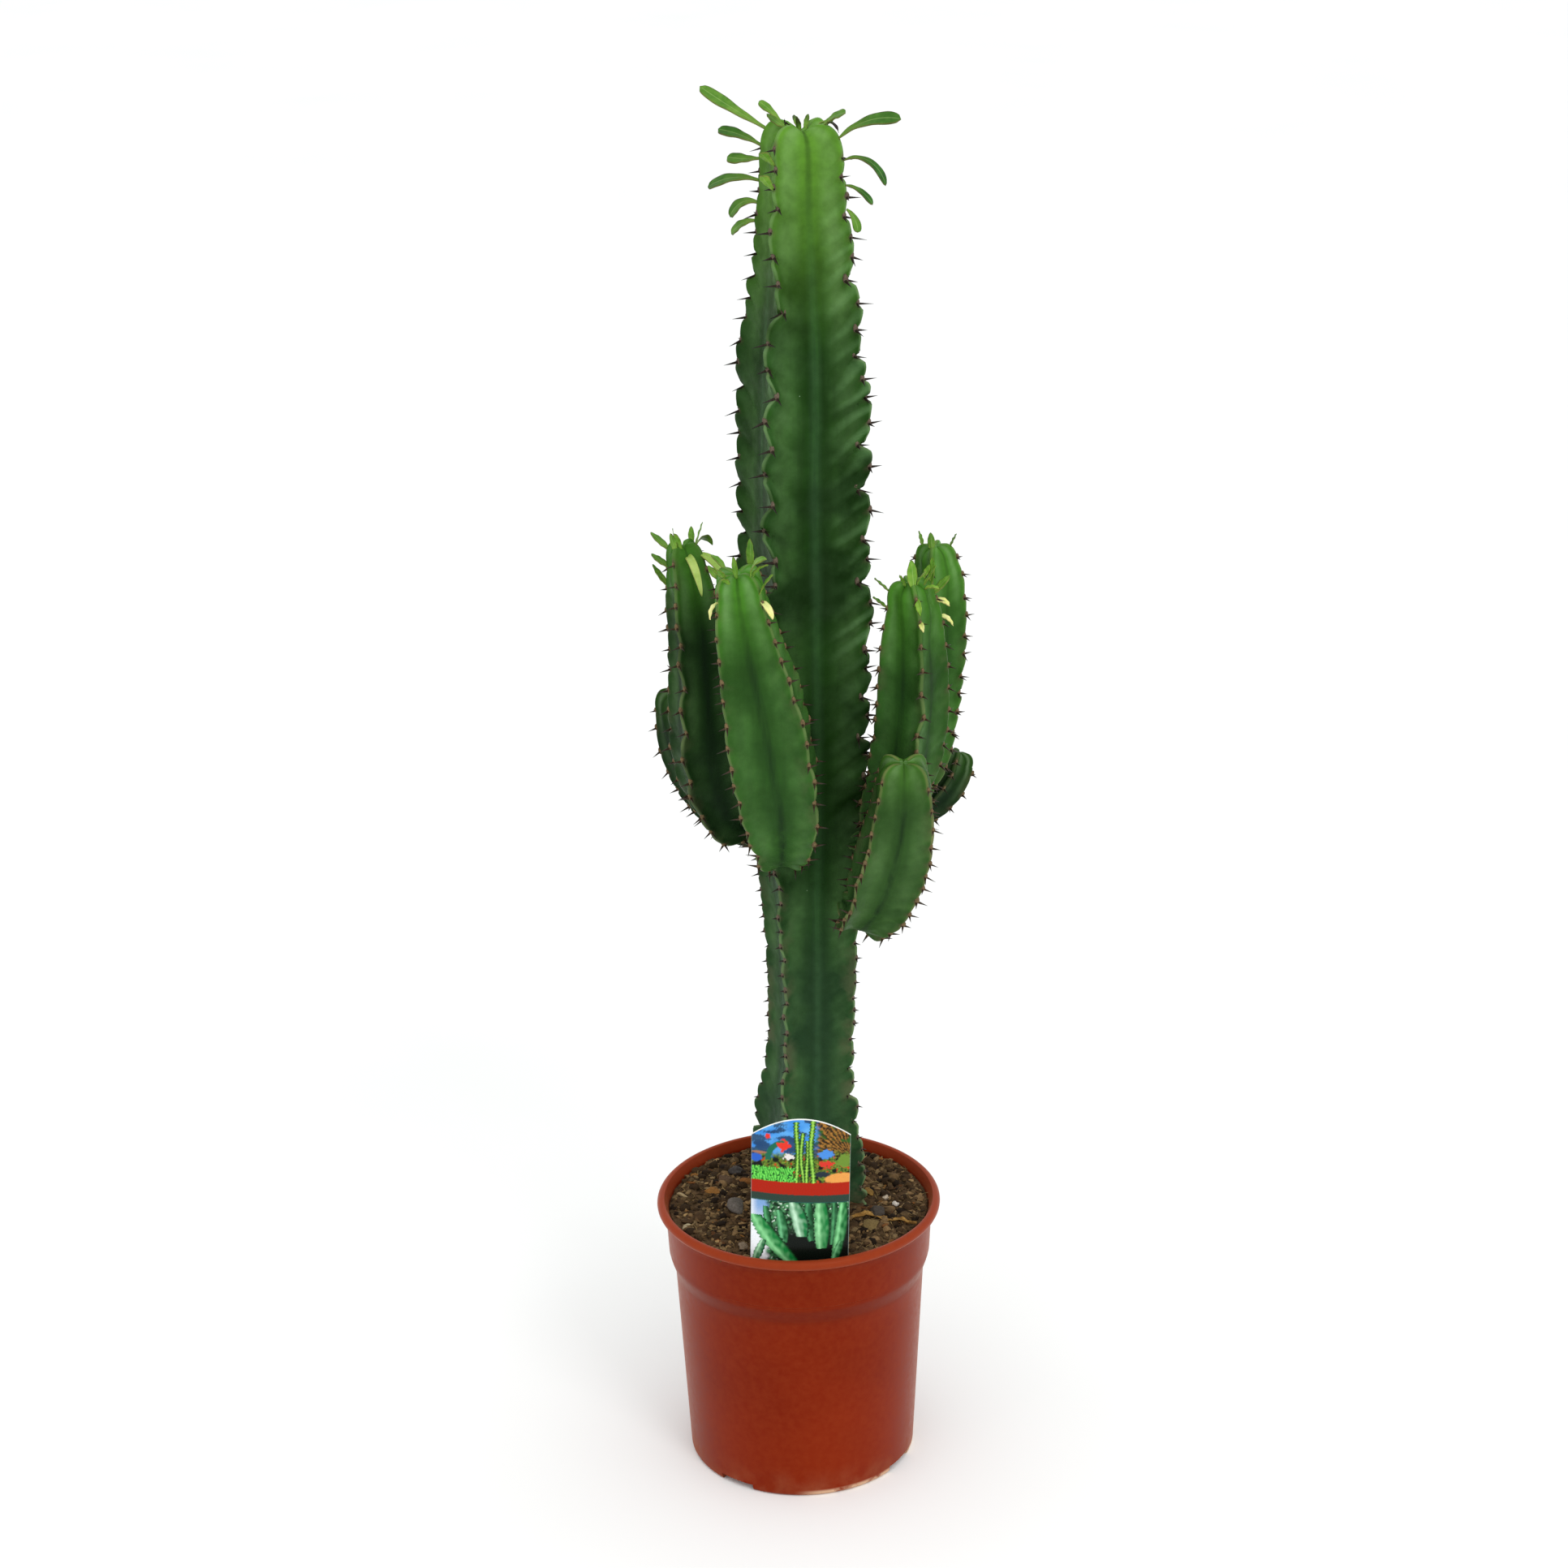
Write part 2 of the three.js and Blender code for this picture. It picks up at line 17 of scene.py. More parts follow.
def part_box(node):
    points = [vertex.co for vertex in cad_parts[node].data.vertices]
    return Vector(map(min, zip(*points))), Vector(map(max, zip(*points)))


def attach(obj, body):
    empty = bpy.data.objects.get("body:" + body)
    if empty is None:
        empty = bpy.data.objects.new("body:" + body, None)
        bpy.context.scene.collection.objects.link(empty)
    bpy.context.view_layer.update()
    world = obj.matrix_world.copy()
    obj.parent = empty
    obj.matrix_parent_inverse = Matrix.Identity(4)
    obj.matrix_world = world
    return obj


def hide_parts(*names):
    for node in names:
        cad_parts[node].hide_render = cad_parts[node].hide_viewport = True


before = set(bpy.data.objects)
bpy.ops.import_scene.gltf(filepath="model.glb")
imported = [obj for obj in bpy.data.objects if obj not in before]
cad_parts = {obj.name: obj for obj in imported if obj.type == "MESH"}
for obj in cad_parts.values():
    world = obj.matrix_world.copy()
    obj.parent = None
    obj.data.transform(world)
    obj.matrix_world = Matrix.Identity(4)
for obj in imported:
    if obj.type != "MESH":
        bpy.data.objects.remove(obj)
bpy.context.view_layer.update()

# ---------------------------------------------------------------- sizes, in millimetres

MM = 0.001

POT_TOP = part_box("pot")[1].z / MM
LIP_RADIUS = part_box("pot")[1].x / MM
LIP_HEIGHT = 6
LIP_WIDTH = 5
COLLAR_HEIGHT = 30
COLLAR_TAPER = 1.8
STEP_HEIGHT = 10
BODY_TOP_RADIUS = 74.8
FOOT_RADIUS = 68.3
FOOT_ROUNDING = 2.5
POT_WALL = 1.8
POT_FLOOR = 2.4
PAD_RADIUS = 20
FOOT_RING_WIDTH = 12
CHANNEL_DEPTH = 2.4
DRAIN_HOLE_RADIUS = 5
DRAIN_HOLE_COUNT = 8
FOOT_NOTCH_WIDTH = 23
FOOT_NOTCH_HEIGHT = 4.2
FOOT_NOTCH_BEARINGS = (-36, 60, 146, 236)
POT_SIDES = 144
LIP_BOTTOM = POT_TOP - LIP_HEIGHT
COLLAR_TOP_RADIUS = LIP_RADIUS - LIP_WIDTH + 0.2
COLLAR_BOTTOM_RADIUS = COLLAR_TOP_RADIUS - COLLAR_TAPER
COLLAR_BOTTOM = LIP_BOTTOM - COLLAR_HEIGHT
STEP_BOTTOM = COLLAR_BOTTOM - STEP_HEIGHT
FLOOR_TOP = CHANNEL_DEPTH + POT_FLOOR
FOOT_EDGE = FOOT_RADIUS - FOOT_ROUNDING
RING_INNER = FOOT_EDGE - FOOT_RING_WIDTH

SOIL_TOP = POT_TOP - 4.5
SOIL_CROWN = 2
SOIL_RADIUS = 77.5

LABEL_WIDTH = 57
LABEL_RISE = 88
LABEL_SUNK = 18
LABEL_ARCH = 11.5
LABEL_THICKNESS = 0.5
LABEL_BOW_RADIUS = 110
LABEL_LEAN = 1.6
LABEL_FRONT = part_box("plant_label")[0].y / MM + 0.2
LABEL_BORDER = 0.7

# Trunk: each station is [lean x, lean y, height above the soil, rib reach, bearing of rib 0].
TRUNK_STATIONS = (
    (6.5, 14, -62, 27, -30), (6.5, 14, -8, 38, -30), (7, 13, 46, 36.5, -30),
    (7.5, 12.5, 70, 32, -31), (8.5, 12, 97, 29.4, -31), (9.5, 11, 149, 30.6, -32),
    (9, 10, 200, 34, -31), (9, 9, 245, 38, -30), (8.5, 8, 300, 41, -29),
    (8.5, 7, 360, 41.5, -28), (8.5, 6, 440, 41.5, -28), (9.5, 6, 502, 40.5, -27.5),
    (10, 5, 537, 37, -28), (10.5, 5, 581, 30.5, -31), (11, 5, 628, 27, -34),
)
TRUNK_DOME = 18

# Arms: the trunk rib each grows from, at a height above the soil. Its stations are
# [x, y, z, rib reach] from that point of the rib's edge, and it bends in its heading.
ARM_ROOT_SHARE = 0.4
ARM_SUNK = 9
ARMS = {
    "arm_front_left": dict(
        rib=0, height=229, heading=-4, bearing=-45, dome=13, pitch=12, sway=1.3, notch=1.1,
        stations=(
            (3, -12, 14, 17), (4, -22, 30, 24), (3, -31, 52, 29), (-1, -36, 80, 31),
            (-6, -40, 113, 29), (-12, -42, 143, 24.5), (-16, -44, 169, 19.5), (-17, -45, 178, 17))),
    "arm_left": dict(
        rib=3, height=238, heading=-60, bearing=-30, dome=13, pitch=12.5, sway=1.8, notch=1.2,
        stations=(
            (-9, -14, 4, 15), (-17, -26, 16, 20), (-22, -34, 36, 23), (-25, -40, 62, 24),
            (-26, -42, 88, 22.5), (-27, -43, 118, 20.5), (-30, -44, 146, 17.5), (-33, -44, 168, 12.5))),
    "arm_rear_left": dict(
        rib=3, height=221, heading=-112, bearing=-20, dome=13, pitch=10, sway=1.3, notch=1.4,
        stations=(
            (-11, 4, 12, 14), (-23, 10, 24, 17), (-33, 15, 40, 18.5), (-39, 18, 58, 18.5),
            (-41, 19, 77, 17))),
    "arm_right": dict(
        rib=1, height=234, heading=80, bearing=12, dome=12, pitch=11.5, sway=1.8, notch=1.2,
        stations=(
            (8, 0, 6, 13), (14, -1, 20, 18), (21, -3, 42, 21), (26, -6, 72, 21.5),
            (28, -8, 97, 21), (28, -9, 119, 19.5), (28, -9, 140, 16.5), (27, -9, 151, 14))),
    "arm_lower_right": dict(
        rib=1, height=197, heading=28, bearing=-45, dome=12, pitch=9.5, sway=1.2, notch=1.1,
        stations=(
            (1, -12, 0, 16), (4, -22, 5, 20), (11, -33, 22, 24), (17, -41, 42, 25.5),
            (22, -48, 64, 25), (24, -52, 86, 22), (24, -53, 97, 18.5))),
    "arm_rear_right": dict(
        rib=2, height=236, heading=92, bearing=75, dome=11, pitch=11.5, sway=1.4, notch=1.3,
        stations=(
            (14, 0, 2, 11), (33, 0, 6, 14), (45, 1, 24, 16), (52, 2, 49, 17), (56, 2, 79, 17),
            (58, 2, 108, 17), (58, 2, 138, 15.5), (57, 2, 150, 13))),
    "arm_low_rear_right": dict(
        rib=2, height=206, heading=108, bearing=0, dome=7, pitch=9.5, sway=1, notch=1.5,
        stations=(
            (18, 2, 12, 10), (36, 6, 20, 12), (51, 11, 29, 13.5), (61, 16, 38, 14),
            (67, 19, 47, 13.5), (69, 20, 52, 12))),
}

# Section of a stem, as shares of the rib's reach, and the skin's divisions.
RIBS = 4
MARGIN_HALF_THICKNESS = 1.5
VALLEY_SHARE = 0.4 * math.sqrt(2)
CREST_SHARE = 0.12
CREST_STEPS = 2
FLANK_STEPS = 10
ROW_STEP = 1.5
DOME_ROWS = 16
TRUNK_BURIED = 22
TRUNK_ROOT_DEPTH = -TRUNK_STATIONS[0][2]

# How much each rib's edge sways from side to side, how far its folds climb on their way from the
# valley to the edge, and how deep they are on its left and right flanks.
RIB_SWAY = (1.15, 0.9, 0.9, 0.55)
FOLD_CLIMB = 0.9
FOLD_DEPTHS = {-1: 0.85, 1: 0.19}

# Leaves on each stem's ribs: [rib, below the tip, length, rise, droop, width, roll, lime],
# where lime is 0 on a grown green leaf, 1 on a fresh one and 2 on one that yellows. The trunk's
# tenth and eleventh leaves are narrower here than their solids.
LEAVES = {
    "trunk": (
        (3, 6, 48, 20, -6, 10, -20, 0.5), (3, 15, 29, 21, 20, 9, -20, 0.1),
        (3, 22, 22, -12, -15, 9, -25, 0.3), (3, 34, 35, 8, 42, 9, -30, 0.2),
        (3, 46, 22, 10, 80, 9, -40, 0.3), (3, 56, 19, -5, 50, 8, -35, 0.4),
        (0, 19, 15, 35, 0, 7, 20, 0.7), (3, 1, 17, 40, 15, 6, -25, 0.6),
        (0, 32, 15, 35, -10, 7, 20, 0.8), (1, 7, 43, 42, 46, 9, 40, 0.15),
        (1, 18, 33, 29, 105, 5, 35, 0), (1, 31, 20, 0, 55, 4, 35, 0),
        (1, 44, 14, -30, 60, 6, 40, 0.4), (1, 1, 17, 48, 38, 8, 30, 0.4)),
    "arm_front_left": (
        (2, 2, 16, 85, 5, 7, 20, 0.5), (1, 2, 22, 82, 75, 7, 30, 0.7),
        (1, 10, 19, 56, 15, 6, 30, 0.7), (1, 14, 12, -15, 70, 5, 30, 2),
        (3, 1, 12, 60, 60, 4, -20, 0.6), (0, 1, 8, 60, 0, 5, 20, 0.8),
        (3, 8, 9, 40, 0, 5, -20, 0.8)),
    "arm_left": (
        (3, 4, 14, 45, 5, 5, -20, 0.4), (3, 14, 12, 35, 0, 5, -20, 0.4),
        (3, 25, 14, 55, -5, 5, -20, 0.5), (0, 2, 11, 80, 0, 5, 20, 0.7),
        (2, 3, 9, 75, 0, 5, 20, 0.7), (1, 2, 16, 62, 0, 5, 30, 0.7),
        (2, 7, 22, 40, 110, 6, -30, 0.7), (1, 6, 32, -20, 75, 7, 40, 1.2),
        (1, 37, 12, -20, 70, 5, 30, 2)),
    "arm_right": (
        (0, 2, 16, 85, -5, 9, 20, 0.8), (1, 5, 16, 78, -5, 6, 30, 0.9),
        (1, 1, 9, 55, 0, 5, 20, 0.9), (3, 5, 12, 50, 0, 4, -20, 0.3),
        (3, 14, 11, 50, 5, 4, -20, 0.3), (1, 10, 13, 42, 5, 6, 30, 0.6),
        (0, 8, 10, -20, 60, 5, 30, 1), (0, 21, 8, 10, 60, 4, 30, 2),
        (1, 15, 9, 0, 70, 5, 30, 2), (1, 23, 10, -15, 60, 5, 30, 2)),
    "arm_rear_right": (
        (3, 1, 10, 85, -10, 6, 20, 0.5), (2, 1, 9, 80, 0, 5, -20, 0.5),
        (0, 2, 9, 60, 0, 5, 20, 0.5)),
}
LEAF_THICKNESS = 0.7
LEAF_ROWS = 26
LEAF_COLUMNS = 8
LEAF_STALK_SHARE = 0.22
LEAF_FOLD = 14
LEAF_SUNK = 0.6

# Shares that make the table's widths and rolls those of the finished blades.
TRUNK_LEAF_WIDTH = 0.94
TRUNK_LEAF_ROLL = 1.35
ARM_LEAF_WIDTH = 0.8

# ---------------------------------------------------------------- small helpers


def srgb(text):
    """A linear colour, with alpha, from six hexadecimal digits."""
    shares = [int(text[i:i + 2], 16) / 255 for i in (0, 2, 4)]
    return tuple(s / 12.92 if s <= 0.04045 else ((s + 0.055) / 1.055) ** 2.4 for s in shares) + (1.0,)


def mixed(a, b, share):
    share = min(1.0, max(0.0, share))
    return tuple(x + (y - x) * share for x, y in zip(a, b))


def ease(low, high, value):
    """0 below low, 1 above high, and a smooth step between."""
    share = min(1.0, max(0.0, (value - low) / (high - low)))
    return share * share * (3 - 2 * share)


def rough(point, size, seed=0.0):
    """Smooth noise from about -1 to 1, whose lumps are of that size."""
    return noise.noise(Vector((point[0] / size + seed, point[1] / size - seed, point[2] / size + 2 * seed)))


def heading_vector(degrees):
    turn = math.radians(degrees)
    return Vector((math.sin(turn), -math.cos(turn), 0))


def new_object(name, data):
    """An object in the scene for that mesh, light or camera."""
    made = bpy.data.objects.new(name, data)
    bpy.context.scene.collection.objects.link(made)
    return made


def mesh_object(name, bm):
    """An object in the scene with all of the bmesh, which is used up."""
    mesh = bpy.data.meshes.new(name)
    bm.to_mesh(mesh)
    bm.free()
    return new_object(name, mesh)


def join(whole, part):
    """Moves all of one bmesh into another."""
    carrier = bpy.data.meshes.new("carrier")
    part.to_mesh(carrier)
    part.free()
    whole.from_mesh(carrier)
    bpy.data.meshes.remove(carrier)


def finish_piece(name, bm, material, replaces=(), sharp=None):
    """Scales a bmesh to metres, makes it an object that rides on the plant, and gives its finish."""
    bmesh.ops.scale(bm, vec=(MM, MM, MM), verts=bm.verts)
    piece = mesh_object(name, bm)
    piece.data.materials.append(material)
    piece.data.shade_smooth()
    if sharp is not None:
        piece.data.set_sharp_from_angle(angle=math.radians(sharp))
    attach(piece, "root")
    if replaces:
        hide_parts(*replaces)
    return piece


# ---------------------------------------------------------------- materials


class Finish:
    """A material with one Principled shader, and short ways to add the nodes that feed it."""

    def __init__(self, name, roughness=0.5, **uniform):
        self.material = bpy.data.materials.new(name)
        self.material.use_nodes = True
        self.tree = self.material.node_tree
        self.shader = self.tree.nodes["Principled BSDF"]
        self.shader.inputs["Roughness"].default_value = roughness
        for socket, value in uniform.items():
            self.shader.inputs[socket.replace("_", " ")].default_value = value

    def node(self, kind, settings=None, **inputs):
        node = self.tree.nodes.new(kind)
        for key, value in (settings or {}).items():
            setattr(node, key, value)
        for key, value in inputs.items():
            self.feed(node.inputs[key.replace("_", " ")], value)
        return node

    def feed(self, socket, value):
        if isinstance(value, bpy.types.NodeSocket):
            self.tree.links.new(value, socket)
        else:
            socket.default_value = value

    def place(self):
        """Object coordinates, in metres."""
        return self.node("ShaderNodeTexCoord").outputs["Object"]

    def attribute(self, name):
        return self.node("ShaderNodeAttribute", {"attribute_name": name}).outputs["Fac"]

    def attribute_colour(self, name):
        return self.node("ShaderNodeAttribute", {"attribute_name": name}).outputs["Color"]

    def mix(self, share, a, b, blend="MIX"):
        node = self.node("ShaderNodeMix", {"data_type": "RGBA", "blend_type": blend})
        self.feed(node.inputs[0], share)
        self.feed(node.inputs[6], a)
        self.feed(node.inputs[7], b)
        return node.outputs[2]

    def between(self, value, low, high):
        """0 below low and 1 above high, with a smooth step between."""
        node = self.node("ShaderNodeMapRange", {"interpolation_type": "SMOOTHSTEP"}, Value=value)
        node.inputs["From Min"].default_value = low
        node.inputs["From Max"].default_value = high
        return node.outputs["Result"]

    def math(self, kind, a, b=0.0, clamp=False):
        node = self.node("ShaderNodeMath", {"operation": kind, "use_clamp": clamp})
        self.feed(node.inputs[0], a)
        self.feed(node.inputs[1], b)
        return node.outputs[0]

    def times(self, a, b, clamp=False):
        return self.math("MULTIPLY", a, b, clamp)

    def plus(self, a, b, clamp=False):
        return self.math("ADD", a, b, clamp)

    def minus(self, a, b, clamp=False):
        return self.math("SUBTRACT", a, b, clamp)

    def group(self, group, **inputs):
        node = self.node("ShaderNodeGroup", {"node_tree": group})
        for key, value in inputs.items():
            self.feed(node.inputs[key.replace("_", " ")], value)
        return node.outputs[0]

    def colour(self, value):
        self.feed(self.shader.inputs["Base Color"], value)

    def roughness(self, value):
        self.feed(self.shader.inputs["Roughness"], value)

    def relief(self, height, strength, distance):
        bump = self.node("ShaderNodeBump", Height=height)
        bump.inputs["Strength"].default_value = strength
        bump.inputs["Distance"].default_value = distance
        self.feed(self.shader.inputs["Normal"], bump.outputs["Normal"])


def new_group(name, inputs, output):
    """A shader node group with float and vector inputs and one output, and its two end nodes."""
    tree = bpy.data.node_groups.new(name, "ShaderNodeTree")
    for label, kind, value in inputs:
        socket = tree.interface.new_socket(label, in_out="INPUT", socket_type=kind)
        if value is not None:
            socket.default_value = value
    tree.interface.new_socket(output[0], in_out="OUTPUT", socket_type=output[1])
    return tree, tree.nodes.new("NodeGroupInput"), tree.nodes.new("NodeGroupOutput")


def mottle_group():
    """A mask of soft patches: noise of a given scale, spread between a low and a high edge."""
    tree, given, result = new_group(
        "mottle",
        (("Place", "NodeSocketVector", None), ("Scale", "NodeSocketFloat", 50.0),
         ("Detail", "NodeSocketFloat", 3.0), ("Low", "NodeSocketFloat", 0.35),
         ("High", "NodeSocketFloat", 0.65)),
        ("Mask", "NodeSocketFloat"))
    patches = tree.nodes.new("ShaderNodeTexNoise")
    spread = tree.nodes.new("ShaderNodeMapRange")
    tree.links.new(given.outputs["Place"], patches.inputs["Vector"])
    tree.links.new(given.outputs["Scale"], patches.inputs["Scale"])
    tree.links.new(given.outputs["Detail"], patches.inputs["Detail"])
    tree.links.new(patches.outputs["Fac"], spread.inputs["Value"])
    tree.links.new(given.outputs["Low"], spread.inputs["From Min"])
    tree.links.new(given.outputs["High"], spread.inputs["From Max"])
    tree.links.new(spread.outputs["Result"], result.inputs["Mask"])
    return tree


def flecks_group():
    """A mask of small scattered flecks, such as grit, scars or scuffs."""
    tree, given, result = new_group(
        "flecks",
        (("Place", "NodeSocketVector", None), ("Scale", "NodeSocketFloat", 300.0),
         ("Size", "NodeSocketFloat", 0.12), ("Share", "NodeSocketFloat", 0.6)),
        ("Mask", "NodeSocketFloat"))
    cells = tree.nodes.new("ShaderNodeTexVoronoi")
    tree.links.new(given.outputs["Place"], cells.inputs["Vector"])
    tree.links.new(given.outputs["Scale"], cells.inputs["Scale"])
    near = tree.nodes.new("ShaderNodeMath")
    near.operation = "LESS_THAN"
    tree.links.new(cells.outputs["Distance"], near.inputs[0])
    tree.links.new(given.outputs["Size"], near.inputs[1])
    chosen = tree.nodes.new("ShaderNodeMath")
    chosen.operation = "GREATER_THAN"
    tree.links.new(cells.outputs["Color"], chosen.inputs[0])
    tree.links.new(given.outputs["Share"], chosen.inputs[1])
    both = tree.nodes.new("ShaderNodeMath")
    both.operation = "MULTIPLY"
    tree.links.new(near.outputs[0], both.inputs[0])
    tree.links.new(chosen.outputs[0], both.inputs[1])
    tree.links.new(both.outputs[0], result.inputs["Mask"])
    return tree


MOTTLE = mottle_group()
FLECKS = flecks_group()


def stem_skin(name, *, deep, mid, pale, tip, stripe, crest, stripe_width, stripe_strength, shine):
    """Waxy succulent skin: deep green flanks with a painted highlight on each fold and painted shade
    between the folds, painted shade towards each valley, a line down each valley that is pale on the
    trunk and dark painted shade on the arms, a painted sheen in patches on the middle of the flanks,
    a thin pale line along each rib's edge, and fresh green at the tip with painted shade in its
    valley creases."""
    deep, mid, pale, tip, stripe, crest = map(srgb, (deep, mid, pale, tip, stripe, crest))
    skin = Finish(name, IOR=shine)
    place = skin.place()
    inward = skin.attribute("inward")
    fold = skin.attribute("fold")
    patches = skin.group(MOTTLE, Place=place, Scale=24.0, Detail=4.0, Low=0.36, High=0.68)
    fine = skin.group(MOTTLE, Place=place, Scale=170.0, Detail=6.0, Low=0.3, High=0.75)
    drawn_out = skin.node("ShaderNodeMapping", Vector=place)
    drawn_out.inputs["Scale"].default_value = (1.0, 1.0, 0.07)
    streaks = skin.group(MOTTLE, Place=drawn_out.outputs[0], Scale=210.0, Detail=3.0, Low=0.4, High=0.66)
    dark = mixed(deep, srgb("081405"), 0.45)
    green = skin.mix(patches, deep, mid)
    blotches = skin.group(MOTTLE, Place=place, Scale=70.0, Detail=5.0, Low=0.38, High=0.72)
    green = skin.mix(skin.times(blotches, 0.12), green, pale)
    # Painted highlight on the crest of each fold, and painted shade in the hollow below it.
    lit = skin.plus(0.15, skin.times(patches, 1.1))
    lit = skin.times(skin.math("MAXIMUM", fold, 0.0), lit, clamp=True)
    green = skin.mix(lit, green, pale)
    fold_shade = skin.math("MAXIMUM", skin.times(fold, -1.0), 0.0)
    green = skin.mix(skin.times(fold_shade, 0.45), green, dark)
    # Painted shade over the inner flanks towards each valley.
    valley_shade = skin.times(skin.between(inward, 0.5, 0.8), skin.minus(1.0, skin.between(inward, 0.9, 0.96)))
    green = skin.mix(skin.times(valley_shade, 0.42), green, dark)
    # The line down each valley: a pale waxy line on the trunk, and on the arms a dark line that is painted
    # shade in the valley's crease.
    striped = skin.plus(0.5 * stripe_strength, skin.times(streaks, 0.5 * stripe_strength))
    striped = skin.times(skin.between(inward, 1 - stripe_width, 0.995), striped)
    green = skin.mix(striped, green, stripe)
    green = skin.mix(skin.times(streaks, skin.times(inward, 0.4)), green, dark)
    green = skin.mix(skin.times(skin.attribute("age"), 0.45), green, srgb("41604A"))
    youth = skin.plus(0.75, skin.times(patches, 0.5))
    youth = skin.times(skin.attribute("youth"), youth, clamp=True)
    green = skin.mix(youth, green, tip)
    # Painted sheen in soft patches on the middle of each flank, stronger towards the tip.
    flat = skin.minus(skin.between(inward, 0.1, 0.35), skin.between(inward, 0.4, 0.85))
    painted_sheen = skin.times(skin.times(flat, patches), skin.plus(0.12, skin.times(youth, 0.36)))
    green = skin.mix(painted_sheen, green, mixed(tip, srgb("C4DCB4"), 0.4))
    # Painted shade in the valleys' creases near the tip.
    crease_shade = skin.times(skin.between(inward, 0.84, 0.98), youth)
    green = skin.mix(skin.times(crease_shade, 0.5), green, dark)
    green = skin.mix(skin.times(fine, 0.3), green, dark)
    outer = skin.minus(1.0, skin.between(inward, 0.1, 0.5))
    cork = skin.times(skin.attribute("age"), skin.group(
        MOTTLE, Place=place, Scale=60.0, Detail=7.0, Low=0.52, High=0.62))
    green = skin.mix(skin.times(skin.times(cork, outer), 0.7), green, srgb("6E6A50"))
    line = skin.minus(1.0, skin.between(inward, 0.02, 0.09))
    aged = skin.times(skin.attribute("age"), 0.4)
    worn = skin.plus(skin.times(patches, 0.4), aged)
    green = skin.mix(skin.times(line, skin.plus(0.08, worn), clamp=True), green, crest)
    green = skin.mix(skin.times(skin.attribute("shield"), 0.7), green, srgb("5E4A40"))
    specks = skin.group(FLECKS, Place=place, Scale=380.0, Size=0.13, Share=0.95)
    green = skin.mix(skin.times(specks, 0.45), green, srgb("8FA886"))
    skin.colour(green)
    skin.roughness(skin.plus(0.36, skin.times(fine, 0.2)))
    pores = skin.node("ShaderNodeTexNoise", Vector=place, Scale=700.0, Detail=4.0)
    skin.relief(pores.outputs["Fac"], 0.3, 0.0005)
    return skin.material


def horn(name, shield, spine_foot, spine_tip):
    """Spine shields and spines: corky at the shield, darkening along the spine to its point."""
    finish = Finish(name, roughness=0.45, IOR=1.35)
    along = finish.attribute("spine")
    place = finish.place()
    fine = finish.group(MOTTLE, Place=place, Scale=900.0, Detail=3.0, Low=0.35, High=0.65)
    corky = finish.mix(fine, shield, mixed(shield, srgb("2E211B"), 0.5))
    lower = finish.mix(finish.times(along, 3.0, clamp=True), corky, spine_foot)
    finish.colour(finish.mix(finish.math("POWER", along, 0.8), lower, spine_tip))
    finish.roughness(finish.minus(0.7, finish.times(along, 0.35)))
    return finish.material


def leaf_finish():
    """A thin fleshy leaf: pale midrib, faint side veins, a thin reddish edge."""
    leaf = Finish("leaf_flesh", roughness=0.42, IOR=1.25)
    place = leaf.place()
    lime = leaf.attribute("lime")
    edge = leaf.attribute("edge")
    patches = leaf.group(MOTTLE, Place=place, Scale=180.0, Detail=4.0, Low=0.35, High=0.7)
    grown = leaf.mix(patches, srgb("214F15"), srgb("376C22"))
    fresh = leaf.mix(patches, srgb("5E9428"), srgb("84AE3E"))
    yellow = leaf.mix(patches, srgb("D8DC7A"), srgb("EDE9A6"))
    green = leaf.mix(leaf.math("MINIMUM", lime, 1.0), grown, fresh)
    green = leaf.mix(leaf.minus(lime, 1.0, clamp=True), green, yellow)
    rib = leaf.minus(1.0, leaf.times(edge, 12.0), clamp=True)
    stalk = leaf.minus(1.0, leaf.attribute("out"))
    green = leaf.mix(leaf.times(stalk, 0.45), green, srgb("86A844"))
    green = leaf.mix(leaf.times(rib, 0.5), green, srgb("A2C074"))
    rim = leaf.times(leaf.minus(edge, 0.86, clamp=True), 6.0, clamp=True)
    green = leaf.mix(leaf.times(rim, 0.45), green, srgb("7A4A3A"))
    green = leaf.mix(leaf.attribute("withered"), green, srgb("241A17"))
    leaf.colour(green)
    veins = leaf.node("ShaderNodeTexWave", {"bands_direction": "DIAGONAL"}, Vector=place, Scale=220.0)
    veins.inputs["Distortion"].default_value = 3.0
    leaf.relief(veins.outputs["Fac"], 0.2, 0.0002)
    return leaf.material


